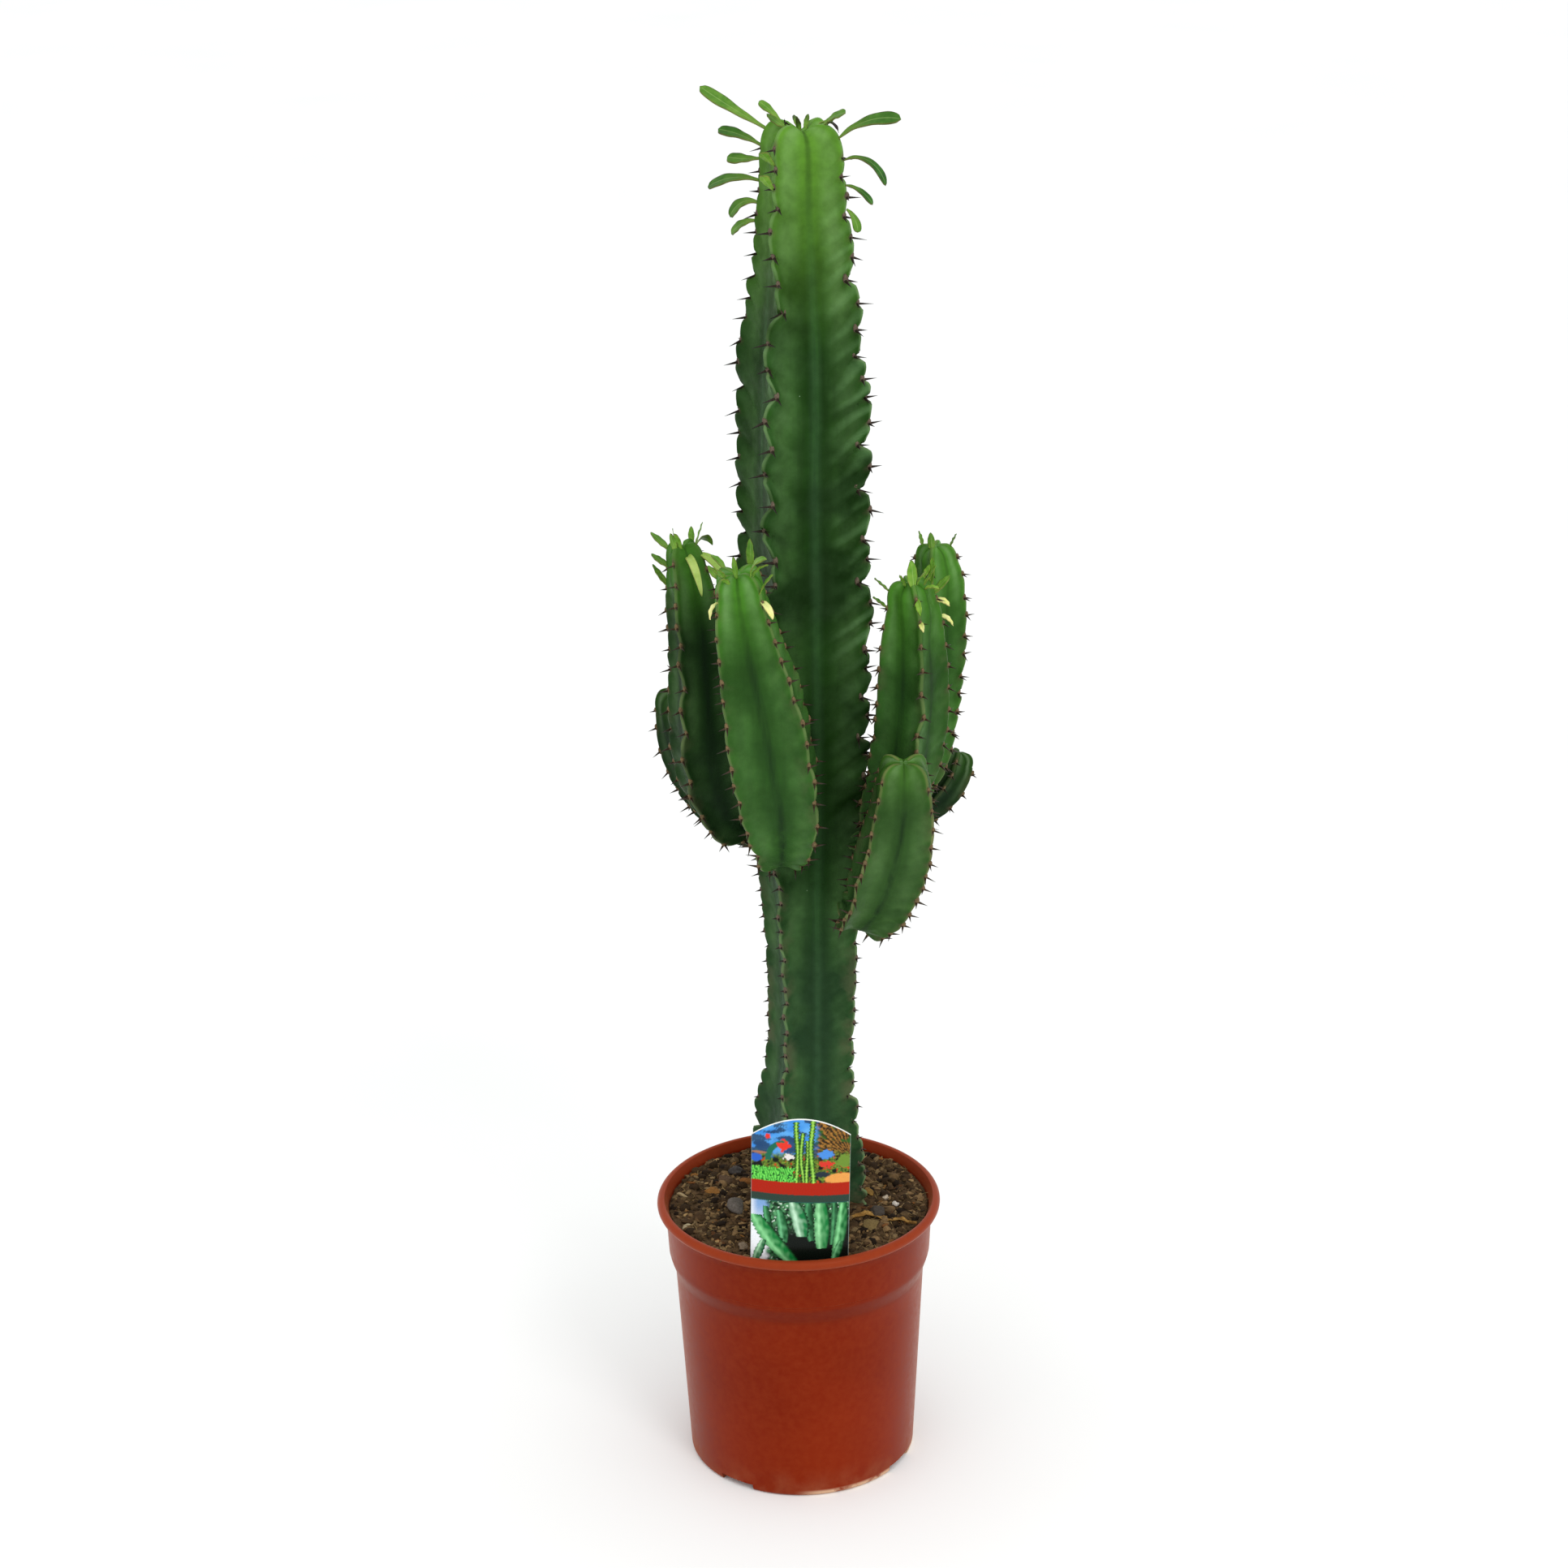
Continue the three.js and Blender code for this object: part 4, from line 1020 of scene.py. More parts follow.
def wall_profile():
    """Up the outside from the foot, over the rolled lip and down the inside to the floor."""
    lip_round = LIP_HEIGHT / 2
    step_run = BODY_TOP_RADIUS - COLLAR_BOTTOM_RADIUS
    parts = 8
    body = [(FOOT_RADIUS + (BODY_TOP_RADIUS - FOOT_RADIUS) * t / parts,
             FOOT_ROUNDING + (STEP_BOTTOM - FOOT_ROUNDING) * t / parts) for t in range(1, parts)]
    step = [(COLLAR_BOTTOM_RADIUS + step_run * (0.35 * ease(0, 1, t / parts) + 0.65 * t / parts),
             COLLAR_BOTTOM + 2 - (STEP_HEIGHT + 2) * t / parts) for t in range(parts, 0, -1)]
    return [
        (0, 0), (PAD_RADIUS, 0), (PAD_RADIUS + CHANNEL_DEPTH, CHANNEL_DEPTH),
        (RING_INNER - CHANNEL_DEPTH, CHANNEL_DEPTH), (RING_INNER, 0),
        *arc(FOOT_EDGE, FOOT_ROUNDING, FOOT_ROUNDING, -90, 0, 5),
        *body,
        *step,
        (COLLAR_BOTTOM_RADIUS - 0.3, COLLAR_BOTTOM + 2),
        (COLLAR_BOTTOM_RADIUS - 0.25, COLLAR_BOTTOM + 2.5),
        (COLLAR_BOTTOM_RADIUS + 0.15, COLLAR_BOTTOM + 2.8),
        (COLLAR_TOP_RADIUS - 0.5, LIP_BOTTOM - 6),
        (COLLAR_TOP_RADIUS, LIP_BOTTOM - 1.2),
        (COLLAR_TOP_RADIUS + 0.5, LIP_BOTTOM - 0.1),
        *arc(LIP_RADIUS - lip_round, LIP_BOTTOM + lip_round, lip_round, -80, 115, 12),
        (COLLAR_TOP_RADIUS - POT_WALL, LIP_BOTTOM + 1),
        (COLLAR_BOTTOM_RADIUS - POT_WALL, COLLAR_BOTTOM),
        (BODY_TOP_RADIUS - POT_WALL, STEP_BOTTOM),
        (FOOT_RADIUS - POT_WALL, FLOOR_TOP),
        (0, FLOOR_TOP),
    ]


def pot_cutters():
    """The drain holes and the notches in the foot ring, as one object to cut with."""
    bm = bmesh.new()
    hole_circle = (PAD_RADIUS + RING_INNER) / 2
    for i in range(DRAIN_HOLE_COUNT):
        spot = heading_vector(360 / DRAIN_HOLE_COUNT * (i + 0.5)) * hole_circle
        bmesh.ops.create_cone(bm, cap_ends=True, segments=28, radius1=DRAIN_HOLE_RADIUS,
                              radius2=DRAIN_HOLE_RADIUS, depth=6 * FLOOR_TOP, matrix=Matrix.Translation(spot))
    for degrees in FOOT_NOTCH_BEARINGS:
        spot = heading_vector(degrees) * (RING_INNER + FOOT_RING_WIDTH)
        turn = Matrix.Rotation(math.radians(degrees), 4, "Z")
        shape = Matrix.Diagonal((FOOT_NOTCH_WIDTH, 2 * FOOT_RING_WIDTH + 3, 2 * FOOT_NOTCH_HEIGHT, 1))
        bmesh.ops.create_cube(bm, size=1, matrix=Matrix.Translation(spot) @ turn @ shape)
    return mesh_object("pot_cutters", bm)


def pot_piece():
    """The pot, turned from its outline, with its drain holes and foot notches cut out."""
    bm = bmesh.new()
    line = [bm.verts.new((radius, 0, height)) for radius, height in wall_profile()]
    edges = [bm.edges.new(pair) for pair in zip(line, line[1:])]
    bmesh.ops.spin(bm, geom=line + edges, cent=(0, 0, 0), axis=(0, 0, 1), angle=2 * math.pi,
                   steps=POT_SIDES, use_merge=True)
    bmesh.ops.remove_doubles(bm, verts=bm.verts, dist=1e-3)
    bmesh.ops.recalc_face_normals(bm, faces=bm.faces)
    blank = mesh_object("pot_turned", bm)
    cutters = pot_cutters()
    cut = blank.modifiers.new("openings", "BOOLEAN")
    cut.operation, cut.solver, cut.object = "DIFFERENCE", "EXACT", cutters
    bpy.context.view_layer.update()
    bm = bmesh.new()
    bm.from_mesh(blank.evaluated_get(bpy.context.evaluated_depsgraph_get()).to_mesh())
    for spent in (blank, cutters):
        mesh = spent.data
        bpy.data.objects.remove(spent)
        bpy.data.meshes.remove(mesh)
    return finish_piece("nursery_pot", bm, TERRACOTTA, ["pot"], sharp=38)


# ---------------------------------------------------------------- soil


def soil_height(x, y):
    """The lie of the soil, with its clods, at a place in the pot."""
    radius = math.hypot(x, y)
    mound = SOIL_CROWN * (1 - ease(20, 62, radius))
    wall = -1.6 * ease(70, SOIL_RADIUS, radius)
    clods = 1.3 * rough((x, y, 0), 14, 2.0) + 2.4 * (0.4 - abs(rough((x, y, 7), 8, 5.0)))
    crumbs = 1.0 * rough((x, y, 3), 3.6, 9.0) + 0.45 * rough((x, y, 1), 1.6, 4.0)
    return SOIL_TOP - 0.6 + mound + wall + clods + crumbs


def soil_piece():
    """The soil's uneven top, with a plain skirt down to the pot's floor."""
    divisions = 190
    bm = bmesh.new()
    bmesh.ops.create_grid(bm, x_segments=divisions, y_segments=divisions, size=1)
    for v in bm.verts:
        x = v.co.x * math.sqrt(1 - v.co.y ** 2 / 2) * SOIL_RADIUS
        y = v.co.y * math.sqrt(1 - v.co.x ** 2 / 2) * SOIL_RADIUS
        v.co = (x, y, soil_height(x, y))
    edge = [e for e in bm.edges if e.is_boundary]
    skirt = bmesh.ops.extrude_edge_only(bm, edges=edge)["geom"]
    low = [v for v in skirt if isinstance(v, bmesh.types.BMVert)]
    low_share = (FOOT_RADIUS - POT_WALL - 0.6) / SOIL_RADIUS
    for v in low:
        v.co = (v.co.x * low_share, v.co.y * low_share, FLOOR_TOP + 0.4)
    bmesh.ops.holes_fill(bm, edges=[e for e in bm.edges if e.is_boundary])
    bmesh.ops.recalc_face_normals(bm, faces=bm.faces)
    return finish_piece("soil_surface", bm, SOIL, ["soil"])


CRUMB_COUNT = 2800
CLOD_COUNT = 420
CHIP_COUNT = 230
FIBRE_COUNT = 260
BIT_BROWNS = ("3E2E1D", "4F3B26", "634C31", "1E150D", "8A6E4A", "4E3B24")
CHIP_BROWNS = ("6E4A26", "8A5F30", "7A4E28", "5A3A20", "9A7A50", "A98A5C", "4F3824")


def near_trunk(x, y):
    """Whether a place on the soil is inside the trunk or close to it."""
    place = TRUNK.at(TRUNK_ROOT_DEPTH)
    offset = Vector((x, y, 0)) - Vector((place.centre.x, place.centre.y, 0))
    for rib in range(RIBS):
        out, across = place.directions(rib)
        if 0 < offset.dot(out) < place.reach + 2 and abs(offset.dot(across)) < 9 - offset.dot(out) * 0.1:
            return True
    return offset.length < 15


def behind_label(x, y):
    return abs(x) < LABEL_WIDTH / 2 + 1 and y < LABEL_FRONT + 6


def bit(bm, tint_layer, spot, size, colour, dice, levels=1):
    """One crumb, chip or stone: a lumpy ball drawn out to its three sizes, and turned."""
    turn = Matrix.Rotation(dice.uniform(0, 6.3), 3, "Z") @ Matrix.Rotation(dice.uniform(-0.5, 0.5), 3, "X")
    seed = dice.uniform(0, 50)
    for v in bmesh.ops.create_icosphere(bm, subdivisions=levels, radius=1)["verts"]:
        shape = v.co * (1 + 0.45 * rough(v.co, 0.8, seed))
        v[tint_layer] = colour
        v.co = Vector(spot) + turn @ Vector((shape.x * size[0], shape.y * size[1], shape.z * size[2]))


def scattered(dice, reach=SOIL_RADIUS - 2.0):
    while True:
        x, y = dice.uniform(-reach, reach), dice.uniform(-reach, reach)
        if math.hypot(x, y) < reach and not near_trunk(x, y) and not behind_label(x, y):
            return x, y


def in_batches(count, add, batch_size=60):
    """A bmesh of many small things, gathered batch by batch."""
    whole = bmesh.new()
    for start in range(0, count, batch_size):
        batch = bmesh.new()
        tint = batch.verts.layers.float_color.new("tint")
        for _ in range(start, min(count, start + batch_size)):
            add(batch, tint)
        join(whole, batch)
    return whole


def crumbs_piece():
    """Loose crumbs of the soil, with some larger clods among them."""
    dice = random.Random(11)

    def add_crumb(batch, tint):
        x, y = scattered(dice)
        long = dice.choice((0.6, 1.0, 1.5, 2.2))
        size = (long * dice.uniform(0.8, 1.6), long * dice.uniform(0.5, 1.0), long * dice.uniform(0.4, 0.8))
        colour = mixed(srgb(dice.choice(BIT_BROWNS)), srgb("8A7350"), dice.random() ** 5)
        bit(batch, tint, (x, y, soil_height(x, y) + 0.2), size, colour, dice)

    def add_clod(batch, tint):
        x, y = scattered(dice)
        long = dice.uniform(1.9, 3.9)
        size = (long, long * dice.uniform(0.6, 1.0), long * dice.uniform(0.45, 0.8))
        colour = mixed(srgb(dice.choice(BIT_BROWNS)), srgb("1A120A"), dice.random() * 0.6)
        bit(batch, tint, (x, y, soil_height(x, y) + 0.1), size, colour, dice, levels=2)

    bm = in_batches(CRUMB_COUNT, add_crumb)
    join(bm, in_batches(CLOD_COUNT, add_clod, batch_size=30))
    return finish_piece("soil_crumbs", bm, SOIL_BITS, sharp=50)


def chips_piece():
    """Bark and wood chips, with a few placed ones of the larger kind."""
    dice = random.Random(5)
    bm = bmesh.new()
    tint = bm.verts.layers.float_color.new("tint")
    for _ in range(CHIP_COUNT):
        x, y = scattered(dice)
        long = dice.uniform(1.2, 3.2)
        size = (long, long * dice.uniform(0.35, 0.7), long * dice.uniform(0.15, 0.35))
        bit(bm, tint, (x, y, soil_height(x, y) + 0.5), size, srgb(dice.choice(CHIP_BROWNS)), dice)
    placed = (
        (-52, 12, 5.5, 3.6, 1.6, "8F6230"), (-31, 22, 5, 3.5, 2.0, "8A5A2C"),
        (-37, 2, 4.2, 1.6, 1.0, "CDB68A"), (-70, 8, 4.6, 1.8, 1.2, "B09A72"),
        (-66, -30, 3.6, 2.2, 1.5, "B7A886"), (-44, 24, 5, 3.4, 1.8, "5E4A38"),
        (52, 0, 3, 2, 1.4, "C9B8A2"), (43, 6, 4.5, 3, 1.6, "8A6A34"), (-33, -56, 4, 3, 1.4, "8C7A66"),
        (42, -34, 6, 5, 2.4, "77643E"), (56, 24, 3.4, 2, 1.4, "8C7E3C"),
    )
    for x, y, length, width, thick, colour in placed:
        spot = (x, y, soil_height(x, y) + 0.8)
        bit(bm, tint, spot, (length, width, thick), srgb(colour), dice, levels=2)
    return finish_piece("bark_chips", bm, SOIL_BITS, sharp=40)


def stones_piece():
    dice = random.Random(8)
    bm = bmesh.new()
    tint = bm.verts.layers.float_color.new("tint")
    placed = ((-37, -12, 6.4, 5.4, 3.2, "716A63"), (47, -20, 4.6, 4.2, 2.6, "4A443E"),
              (-38, 38, 4.5, 4, 2.6, "4E4A48"), (58, -8, 2.2, 1.8, 1.4, "D8CFC4"))
    for x, y, length, width, thick, colour in placed:
        spot = (x, y, soil_height(x, y) + 0.6 * thick)
        bit(bm, tint, spot, (length, width, thick), srgb(colour), dice, levels=3)
    return finish_piece("stones", bm, SOIL_BITS)


def fibres_piece():
    """Short root fibres and straw, each a thin curved strand with four sides."""
    dice = random.Random(21)

    def add_fibre(bm, tint):
        x, y = scattered(dice)
        heading, bend = dice.uniform(0, 6.3), dice.uniform(-0.35, 0.35)
        colour = mixed(srgb("6E5738"), srgb("A98F5E"), dice.random())
        radius, stride = dice.uniform(0.14, 0.3), dice.uniform(0.9, 2.2)
        ring = bmesh.ops.create_circle(bm, segments=4, radius=radius, cap_ends=True)["verts"]
        spot = Vector((x, y, soil_height(x, y) + 0.5))
        face = ring[0].link_faces[0]
        for step in range(6):
            tilt = Matrix.Rotation(math.pi / 2, 3, "X")
            turn = Matrix.Rotation(heading, 3, "Z")
            lift = 0.7 * math.sin(step / 5 * math.pi)
            if step:
                grown = bmesh.ops.extrude_face_region(bm, geom=[face])
                ring = [g for g in grown["geom"] if isinstance(g, bmesh.types.BMVert)]
                old = face
                face = next(g for g in grown["geom"] if isinstance(g, bmesh.types.BMFace))
                bmesh.ops.delete(bm, geom=[old], context="FACES_ONLY")
            middle = spot + Vector((0, 0, lift))
            for i, v in enumerate(ring):
                corner = Vector((radius * math.cos(i * math.pi / 2), radius * math.sin(i * math.pi / 2), 0))
                v.co = middle + turn @ (tilt @ corner)
                v[tint] = colour
            heading += bend
            spot += turn @ Vector((0, stride, 0))
            spot.z = soil_height(spot.x, spot.y) + 0.3

    bm = in_batches(FIBRE_COUNT, add_fibre, batch_size=20)
    bmesh.ops.recalc_face_normals(bm, faces=bm.faces)
    return finish_piece("root_fibres", bm, SOIL_BITS)


def dried_leaf_piece():
    """A long withered leaf that lies curled on the soil to the right of the label."""
    bm = bmesh.new()
    tint = bm.verts.layers.float_color.new("tint")
    rows, columns = 40, 6
    line = [Vector((x, y, 0)) for x, y in ((31, -27), (42, -24), (54, -26), (62, -31), (70, -30))]
    bmesh.ops.create_grid(bm, x_segments=columns, y_segments=rows, size=1)
    for v in bm.verts:
        share, x = (v.co.y + 1) / 2, v.co.x
        spot = along_points(line, share)
        before, after = along_points(line, max(0.0, share - 0.02)), along_points(line, min(1.0, share + 0.02))
        ahead = (after - before).normalized()
        side = Vector((-ahead.y, ahead.x, 0))
        half = 2.6 * math.sin(math.pi * min(0.98, 0.08 + share)) ** 0.6
        curl = 0.9 + 0.7 * math.sin(share * 9)
        height = soil_height(spot.x, spot.y) + 1.1 + 1.2 * math.sin(share * 7) ** 2 + curl * x * x
        v[tint] = mixed(srgb("8A6430"), srgb("B58C4C"), 0.5 + 0.5 * math.sin(share * 23 + x * 3))
        v.co = spot + side * x * half + Vector((0, 0, height))
    bmesh.ops.solidify(bm, geom=bm.faces[:], thickness=0.35)
    bmesh.ops.recalc_face_normals(bm, faces=bm.faces)
    return finish_piece("dried_leaf", bm, SOIL_BITS)


# ---------------------------------------------------------------- label


def spot_share(u, v, centre_u, centre_v, width, height, ragged=0.0, size=2.0):
    """1 inside an oval spot with a ragged edge, 0 outside it."""
    away = math.hypot((u - centre_u) / width, (v - centre_v) / height)
    return 1 - ease(0.85, 1.1, away + ragged * rough((u, v, 0), size, centre_u))


# Spots of colour in the garden: [colour, middle u and v, half width, half height, raggedness,
# size of its lumps].
GARDEN_SPOTS = (
    ("2E62C8", -26, 62, 3.6, 2.6, 0.2, 2.0), ("A8745A", -24, 65.5, 4.6, 0.8, 0.1, 2.0),
    ("E8392A", -10.5, 70.5, 3.6, 3.4, 0.9, 2.2), ("E8392A", -19, 76, 1.7, 1.4, 0.6, 1.2),
    ("E9E4E0", -7, 63.5, 2.6, 1.8, 1.0, 1.2), ("4C8FE0", 14.5, 65, 4.4, 3.0, 0.5, 1.6),
    ("D8382C", 15, 58.5, 4.4, 1.9, 1.0, 1.3), ("26323C", 10, 52, 7, 1.8, 0.6, 2.0),
    ("6E8F34", 25, 60, 4.5, 4.6, 0.6, 1.6),
)


def garden_colour(u, v):
    """The label's upper picture: a planted garden under a blue sky, with tall green stems in the middle.
    u is millimetres to the right of the middle, v millimetres above the pot."""
    leafy = rough((u, v * 1.4, 2), 2.6, 1.0)
    fine = rough((u, v, 5), 0.9, 7.0)
    colour = mixed(srgb("2F86DE"), srgb("63AEEE"), 0.5 + rough((u, v * 2, 0), 9))
    haze = rough((u * 0.5, v * 1.4, 1), 4.5, 3.0) + 0.4 * (1 - ease(66, 82, v)) + 0.3 * fine
    colour = mixed(colour, srgb("1D2F4A"), 0.85 * ease(0.0, 0.35, haze))
    if u > 7:
        frond = math.sin(math.atan2(v - 60, u - 30) * 58 + 1.6 * leafy)
        brown = mixed(srgb("2E2210"), srgb("B07A34"), 0.3 + 0.4 * frond + 0.8 * fine + 0.4 * leafy)
        brown = mixed(brown, srgb("2C5A1E"), ease(0.15, 0.5, rough((u, v, 6), 3.4, 31.0)))
        colour = mixed(colour, brown, ease(7, 11, u + 2 * leafy))
    low = ease(0.0, 1.0, (68 - v + 3 * leafy) / 6)
    bed = mixed(srgb("1F3316"), srgb("7C9A32"), 0.5 + 0.8 * fine)
    bed = mixed(bed, srgb("C0461C"), ease(0.22, 0.4, rough((u, v, 9), 2.2, 12.0)))
    bed = mixed(bed, srgb("0E1410"), ease(0.12, 0.4, rough((u, v, 4), 3.0, 21.0)))
    colour = mixed(colour, bed, low)
    arch_away = abs(math.hypot(u + 8, v - 62) - 11)
    if u < -8 and v > 61:
        colour = mixed(colour, srgb("1E6B52"), 1 - ease(1.3, 1.9, arch_away))
    for tone, *oval in GARDEN_SPOTS:
        colour = mixed(colour, srgb(tone), spot_share(u, v, *oval))
    for middle, width, top in ((-2.4, 1.1, 86), (0.6, 0.9, 79), (3.4, 0.9, 74), (6.2, 1.2, 90)):
        line = middle + 0.6 * math.sin(v * 0.16 + middle) + (0.06 * (58 - v) if v < 58 else 0.0)
        toothed = width * (1 + 0.28 * math.sin(v * 3.1 + middle * 2))
        if v < top and abs(u - line) < toothed + 0.5:
            bright = 0.5 + 0.5 * math.cos((u - line) / toothed * 3.6) + 0.5 * fine
            colour = mixed(mixed(srgb("35701A"), srgb("A8E25C"), bright), srgb("14280C"),
                           ease(0.9, 1.25, abs(u - line) / toothed))
    grass_top = 56.5 + 1.6 * rough((u * 1.6, 0, 0), 1.4, 5.0)
    if u < -3.5 + 2 * leafy and v < grass_top:
        blade = math.sin(u * 4.4 + v * 0.9 + 7 * rough((u, v, 3), 2.6)) * 0.5 + 0.5
        colour = mixed(srgb("127A22"), srgb("7CEC60"), blade + 0.5 * fine)
        colour = mixed(colour, srgb("0E3412"), ease(0.3, 0.5, rough((u, v, 2), 1.3, 17.0)))
    sand = spot_share(u, v, 23, 49, 9, 3.6, 0.15)
    return mixed(colour, srgb("E8A050"), sand)


def horn_form(u, v, foot, top, lean, width):
    """Where a place is in a tall curved stem of the picture: from -1 to 1 across it, and the share
    of its height; or None outside it."""
    if not foot < v < top:
        return None
    share = (v - foot) / (top - foot)
    line = lean[0] + (lean[1] - lean[0]) * share + lean[2] * math.sin(math.pi * share)
    half = width * math.sin(math.pi * (0.16 + 0.72 * share)) ** 0.6
    across = (u - line) / half
    return (across, share) if abs(across) < 1 + 0.08 * math.sin(v * 2.6) else None


def stems_colour(u, v):
    """The label's lower picture: close view of glossy green ribbed stems against a pale sky."""
    colour = mixed(srgb("F2F6FA"), srgb("7FA6D8"), ease(14, 33, v) * ease(-30, -24, u))
    far = mixed(srgb("0C2A16"), srgb("5CA46C"), 0.35 + 1.1 * rough((u, v, 4), 2.2, 6.0))
    far = mixed(far, srgb("DDEEE0"), ease(0.36, 0.46, rough((u, v, 8), 1.3, 2.0)))
    colour = mixed(colour, far, ease(-21, -17, u + 2 * rough((u, v, 0), 3)))
    dark = (1 - ease(12, 19, v - 0.25 * abs(u - 2) + 3 * rough((u, v, 1), 4, 8.0))) * ease(-19, -10, u)
    colour = mixed(colour, srgb("0A100C"), dark)
    forms = (
        (6, 31, (-19, -20, 1), 2.6, "0E4A24", "5CB478"), (8, 29, (-9, -12, 0.6), 3.2, "125A2C", "70C288"),
        (9, 35, (7, 5, -0.8), 3.0, "0E4422", "4E9E68"), (12, 35, (1.5, -4, 1), 4.9, "177A40", "C8F0D0"),
        (4, 35, (13, 12, 0.4), 4.8, "127A38", "9CE4A4"), (6, 34, (19, 20, 0.8), 2.4, "0C3E20", "4E9C64"),
        (-1, 33, (21, 25, 1.0), 3.6, "126A30", "8ADC96"), (-6, 25, (-3, -26, -1.5), 6.4, "147C38", "92E29C"),
        (-6, 9, (-26, -21, 0), 2.6, "1E6A3A", "B4E8BC"), (-5, 8, (20, 24, 0), 2.6, "105A2A", "78C888"),
    )
    for foot, top, lean, width, deep, light in forms:
        inside = horn_form(u, v, foot, top, lean, width)
        if inside is None:
            continue
        across, share = inside
        shine = math.exp(-((across + 0.42) / 0.24) ** 2)
        lit = 0.22 - 0.26 * across + 0.6 * shine + 0.07 * math.sin(share * 30 + across * 2)
        lit += 0.35 * rough((u, v * 0.5, 0), 2.0)
        colour = mixed(srgb(deep), srgb(light), lit)
        colour = mixed(colour, srgb("08240F"), ease(0.55, 1.0, across))
        colour = mixed(colour, srgb("0C3A1A"), ease(0.8, 1.0, -across) * 0.6)
    return colour


def label_top(u):
    """Height of the label's arched top above the pot."""
    return LABEL_RISE - LABEL_ARCH * (u / (LABEL_WIDTH / 2)) ** 2


def label_colour(u, v):
    """The picture's two halves, with a red and a green band between them and a pale border."""
    band = v + 0.03 * u
    if v > label_top(u) - LABEL_BORDER:
        return srgb("F4F6F2")
    if abs(u) > LABEL_WIDTH / 2 - 0.35:
        return srgb("8FA09A")
    if band > 47:
        return garden_colour(u, v)
    if band > 39:
        return srgb("AE2008")
    if band > 34:
        return mixed(srgb("2C4037"), srgb("1C5A4C"), 1 - ease(34, 34.9, band))
    return stems_colour(u, v)


def label_piece():
    """The bowed, leaning label, with its picture on the front and white card behind."""
    columns, rows = 142, 250
    bm = bmesh.new()
    picture = bm.verts.layers.float_color.new("picture")
    bmesh.ops.create_grid(bm, x_segments=columns, y_segments=rows, size=1)
    stand = Matrix.Translation((0, LABEL_FRONT, POT_TOP)) @ Matrix.Rotation(math.radians(LABEL_LEAN), 4, "Y")
    for v in bm.verts:
        u = v.co.x * LABEL_WIDTH / 2
        height = -LABEL_SUNK + (label_top(u) + LABEL_SUNK) * (v.co.y + 1) / 2
        v[picture] = label_colour(u, height)
        v.co = stand @ Vector((u, LABEL_BOW_RADIUS - math.sqrt(LABEL_BOW_RADIUS ** 2 - u * u), height))
    front = bm.faces[:]
    bmesh.ops.recalc_face_normals(bm, faces=front)
    if front[0].normal.y > 0:
        bmesh.ops.reverse_faces(bm, faces=front)
    printed = set(bm.verts)
    bmesh.ops.solidify(bm, geom=front, thickness=LABEL_THICKNESS)
    white = srgb("E9ECE8")
    for v in bm.verts:
        if v not in printed:
            v[picture] = white
    bmesh.ops.recalc_face_normals(bm, faces=bm.faces)
    return finish_piece("picture_label", bm, LABEL_CARD, ["plant_label"], sharp=60)


# ---------------------------------------------------------------- build the object


def steady(value):
    return lambda distance: value


def trunk_pitch(distance):
    """The spines stand 9 mm apart low on the trunk, 14 mm in its middle and 11 mm at its tip."""
    return 9 + 5 * ease(250, 420, distance) - 3 * ease(600, 690, distance)


def trunk_sway(distance):
    return 1.3 + 3.7 * ease(260, 380, distance) + 2.6 * (1 - ease(110, 190, distance))


def trunk_notch(distance):
    return 1.0 + 2.2 * ease(270, 400, distance) + 2.0 * (1 - ease(110, 180, distance))


def trunk_folds(distance):
    return 0.25 + 0.85 * ease(290, 460, distance)


def trunk_spine_length(distance):
    return 3.0 + 5.2 * ease(235, 330, distance)


def arm_stem(name, arm, seed):
    """An arm, which starts at the place on its rib's edge that is at its height above the soil."""
    low, high = 0.0, TRUNK.length
    for _ in range(40):
        middle = (low + high) / 2
        if TRUNK.at(middle).centre.z < SOIL_TOP + arm["height"]:
            low = middle
        else:
            high = middle
    place = TRUNK.at(low)
    out, _ = place.directions(arm["rib"])
    edge = place.centre + out * place.reach
    root = place.centre + out * (place.reach - ARM_SUNK)
    stations = [(*root, arm["stations"][0][3] * ARM_ROOT_SHARE, arm["bearing"])]
    for x, y, z, reach in arm["stations"]:
        stations.append((edge.x + x, edge.y + y, edge.z + z, reach, arm["bearing"]))
    return Stem(name, stations, arm["heading"], arm["dome"], dip=0.14, fill=0.2,
                pitch=steady(arm["pitch"]), sway=steady(arm["sway"]), notch=steady(arm["notch"]), seed=seed)


TRUNK = Stem("trunk", [(x, y, SOIL_TOP + z, reach, bearing) for x, y, z, reach, bearing in TRUNK_STATIONS],
             heading=0, dome=TRUNK_DOME, dip=0.27, fill=0.08,
             pitch=trunk_pitch, sway=trunk_sway, notch=trunk_notch, seed=3)
STEMS = {"trunk": TRUNK}
for number, (arm_name, arm_facts) in enumerate(ARMS.items()):
    STEMS[arm_name] = arm_stem(arm_name, arm_facts, 20 + number)

pot_piece()
soil_piece()
crumbs_piece()
chips_piece()
stones_piece()
fibres_piece()
dried_leaf_piece()
label_piece()

# How far down from the tip the fresh green goes, and the arms' folds and spines.
TRUNK_FRESH_LENGTH = 125
ARM_FRESH_LENGTH = 60
ARM_FOLDS = 0.5
ARM_SPINE_LENGTH = 6.2
ARM_LOWEST_SPINES = 12
TRUNK_LOWEST_SPINES = TRUNK_ROOT_DEPTH + 4

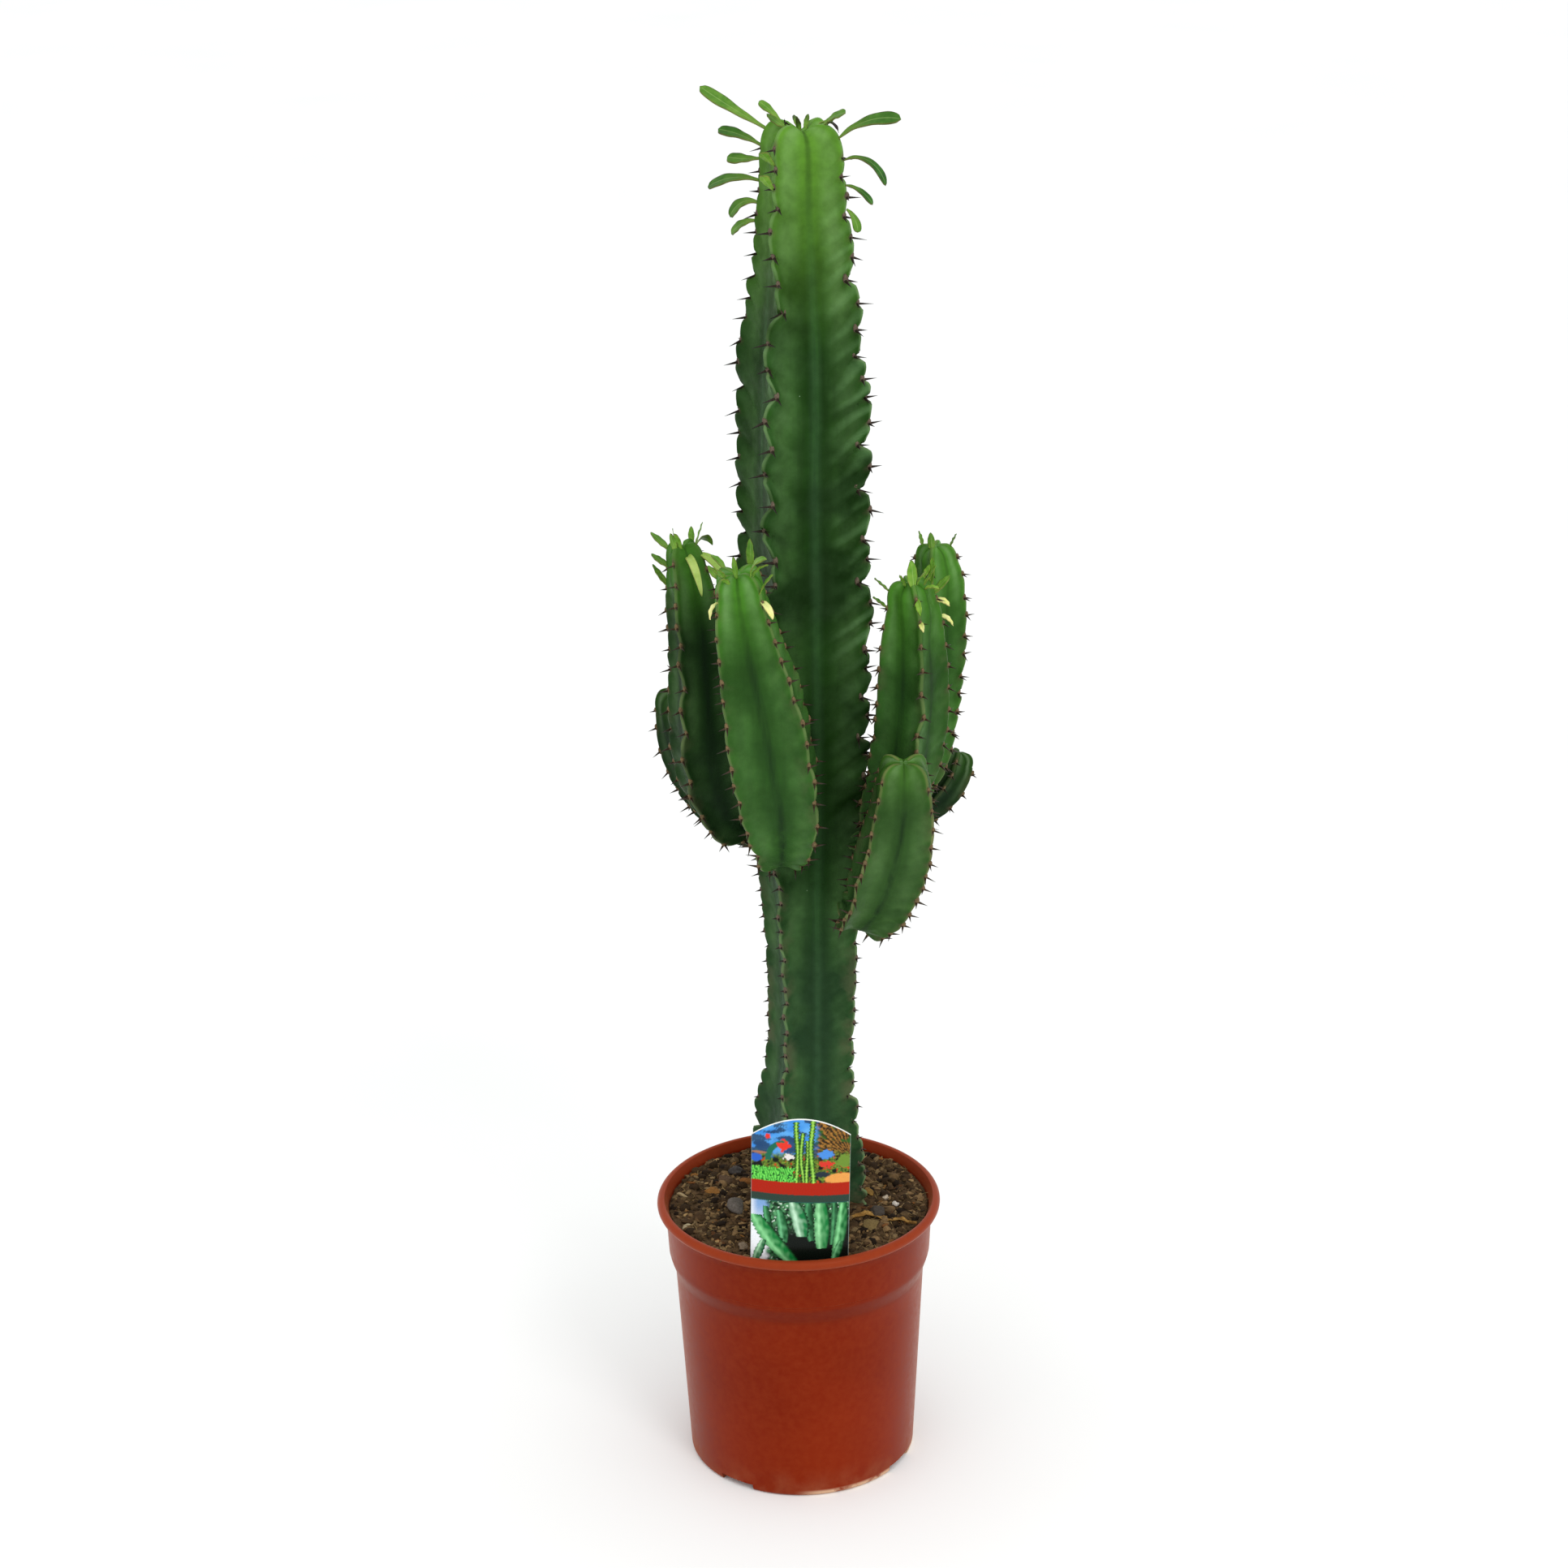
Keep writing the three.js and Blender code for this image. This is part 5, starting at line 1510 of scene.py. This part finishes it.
# Skin and length of fresh green of the arms that differ from the rest.
ARM_LOOKS = {"arm_lower_right": (SHORT_ARM_SKIN, 26), "arm_rear_left": (DARK_SHADED_ARM_SKIN, 30),
             "arm_low_rear_right": (DARK_SHADED_ARM_SKIN, 30), "arm_left": (SHADED_ARM_SKIN, 52),
             "arm_rear_right": (LIT_REAR_ARM_SKIN, ARM_FRESH_LENGTH)}

spine_dice = random.Random(2)
stem_piece(TRUNK, TRUNK_SKIN, TRUNK_ROOT_DEPTH - TRUNK_BURIED, trunk_folds, 1.0, TRUNK_FRESH_LENGTH)
spine_pairs(TRUNK, TRUNK_HORN, trunk_spine_length, TRUNK_LOWEST_SPINES, spine_dice)
for arm_name in ARMS:
    skin, fresh_length = ARM_LOOKS.get(arm_name, (ARM_SKIN, ARM_FRESH_LENGTH))
    stem_piece(STEMS[arm_name], skin, 0.0, steady(ARM_FOLDS), 0.3, fresh_length)
    spine_pairs(STEMS[arm_name], ARM_HORN, steady(ARM_SPINE_LENGTH), ARM_LOWEST_SPINES, spine_dice)
crown_leaflets()
small_leaves()
for stem_name, leaves in LEAVES.items():
    for number, leaf in enumerate(leaves, 1):
        leaf_piece(STEMS[stem_name], number, leaf)

# ---------------------------------------------------------------- floor, light and camera

sheet = bmesh.new()
bmesh.ops.create_grid(sheet, x_segments=1, y_segments=1, size=12)
floor = mesh_object("floor", sheet)
floor.data.materials.append(floor_finish())

# A wide soft light from above and in front, and a square one from the right in front.
softbox = bpy.data.lights.new("overhead_softbox", "SUN")
softbox.energy, softbox.angle = 0.52, math.radians(60)
lamp = new_object("overhead_softbox", softbox)
lamp.rotation_euler = Vector((-0.08, 0.72, -1.12)).to_track_quat("-Z", "Y").to_euler()

key = bpy.data.lights.new("key_light", "AREA")
key.shape, key.size, key.energy = "SQUARE", 0.8, 14
lamp = new_object("key_light", key)
lamp.location = (1.1, -2.0, 2.2)
lamp.rotation_euler = (Vector((0, 0, 0.45)) - lamp.location).to_track_quat("-Z", "Y").to_euler()

world = bpy.data.worlds.new("studio")
world.use_nodes = True
world.node_tree.nodes["Background"].inputs["Color"].default_value = (1, 1, 1, 1)
world.node_tree.nodes["Background"].inputs["Strength"].default_value = 0.96
bpy.context.scene.world = world
bpy.context.scene.view_settings.view_transform = "Standard"

CAMERA_PLACE = Vector((0, -1.8, 1.132))
CAMERA_YAW, CAMERA_PITCH, CAMERA_ROLL = math.radians(-0.14), math.radians(21.24), math.radians(-1.0)
view = Vector((math.sin(CAMERA_YAW) * math.cos(CAMERA_PITCH), math.cos(CAMERA_YAW) * math.cos(CAMERA_PITCH),
               -math.sin(CAMERA_PITCH)))
right = view.cross(Vector((0, 0, 1))).normalized()
up = right.cross(view)
camera_data = bpy.data.cameras.new("camera")
camera_data.lens = 77.44
camera_data.clip_end = 60
camera = new_object("camera", camera_data)
rolled_right = right * math.cos(CAMERA_ROLL) + up * math.sin(CAMERA_ROLL)
rolled_up = up * math.cos(CAMERA_ROLL) - right * math.sin(CAMERA_ROLL)
turn = Matrix((rolled_right, rolled_up, -view)).transposed().to_4x4()
camera.matrix_world = Matrix.Translation(CAMERA_PLACE) @ turn
bpy.context.scene.camera = camera
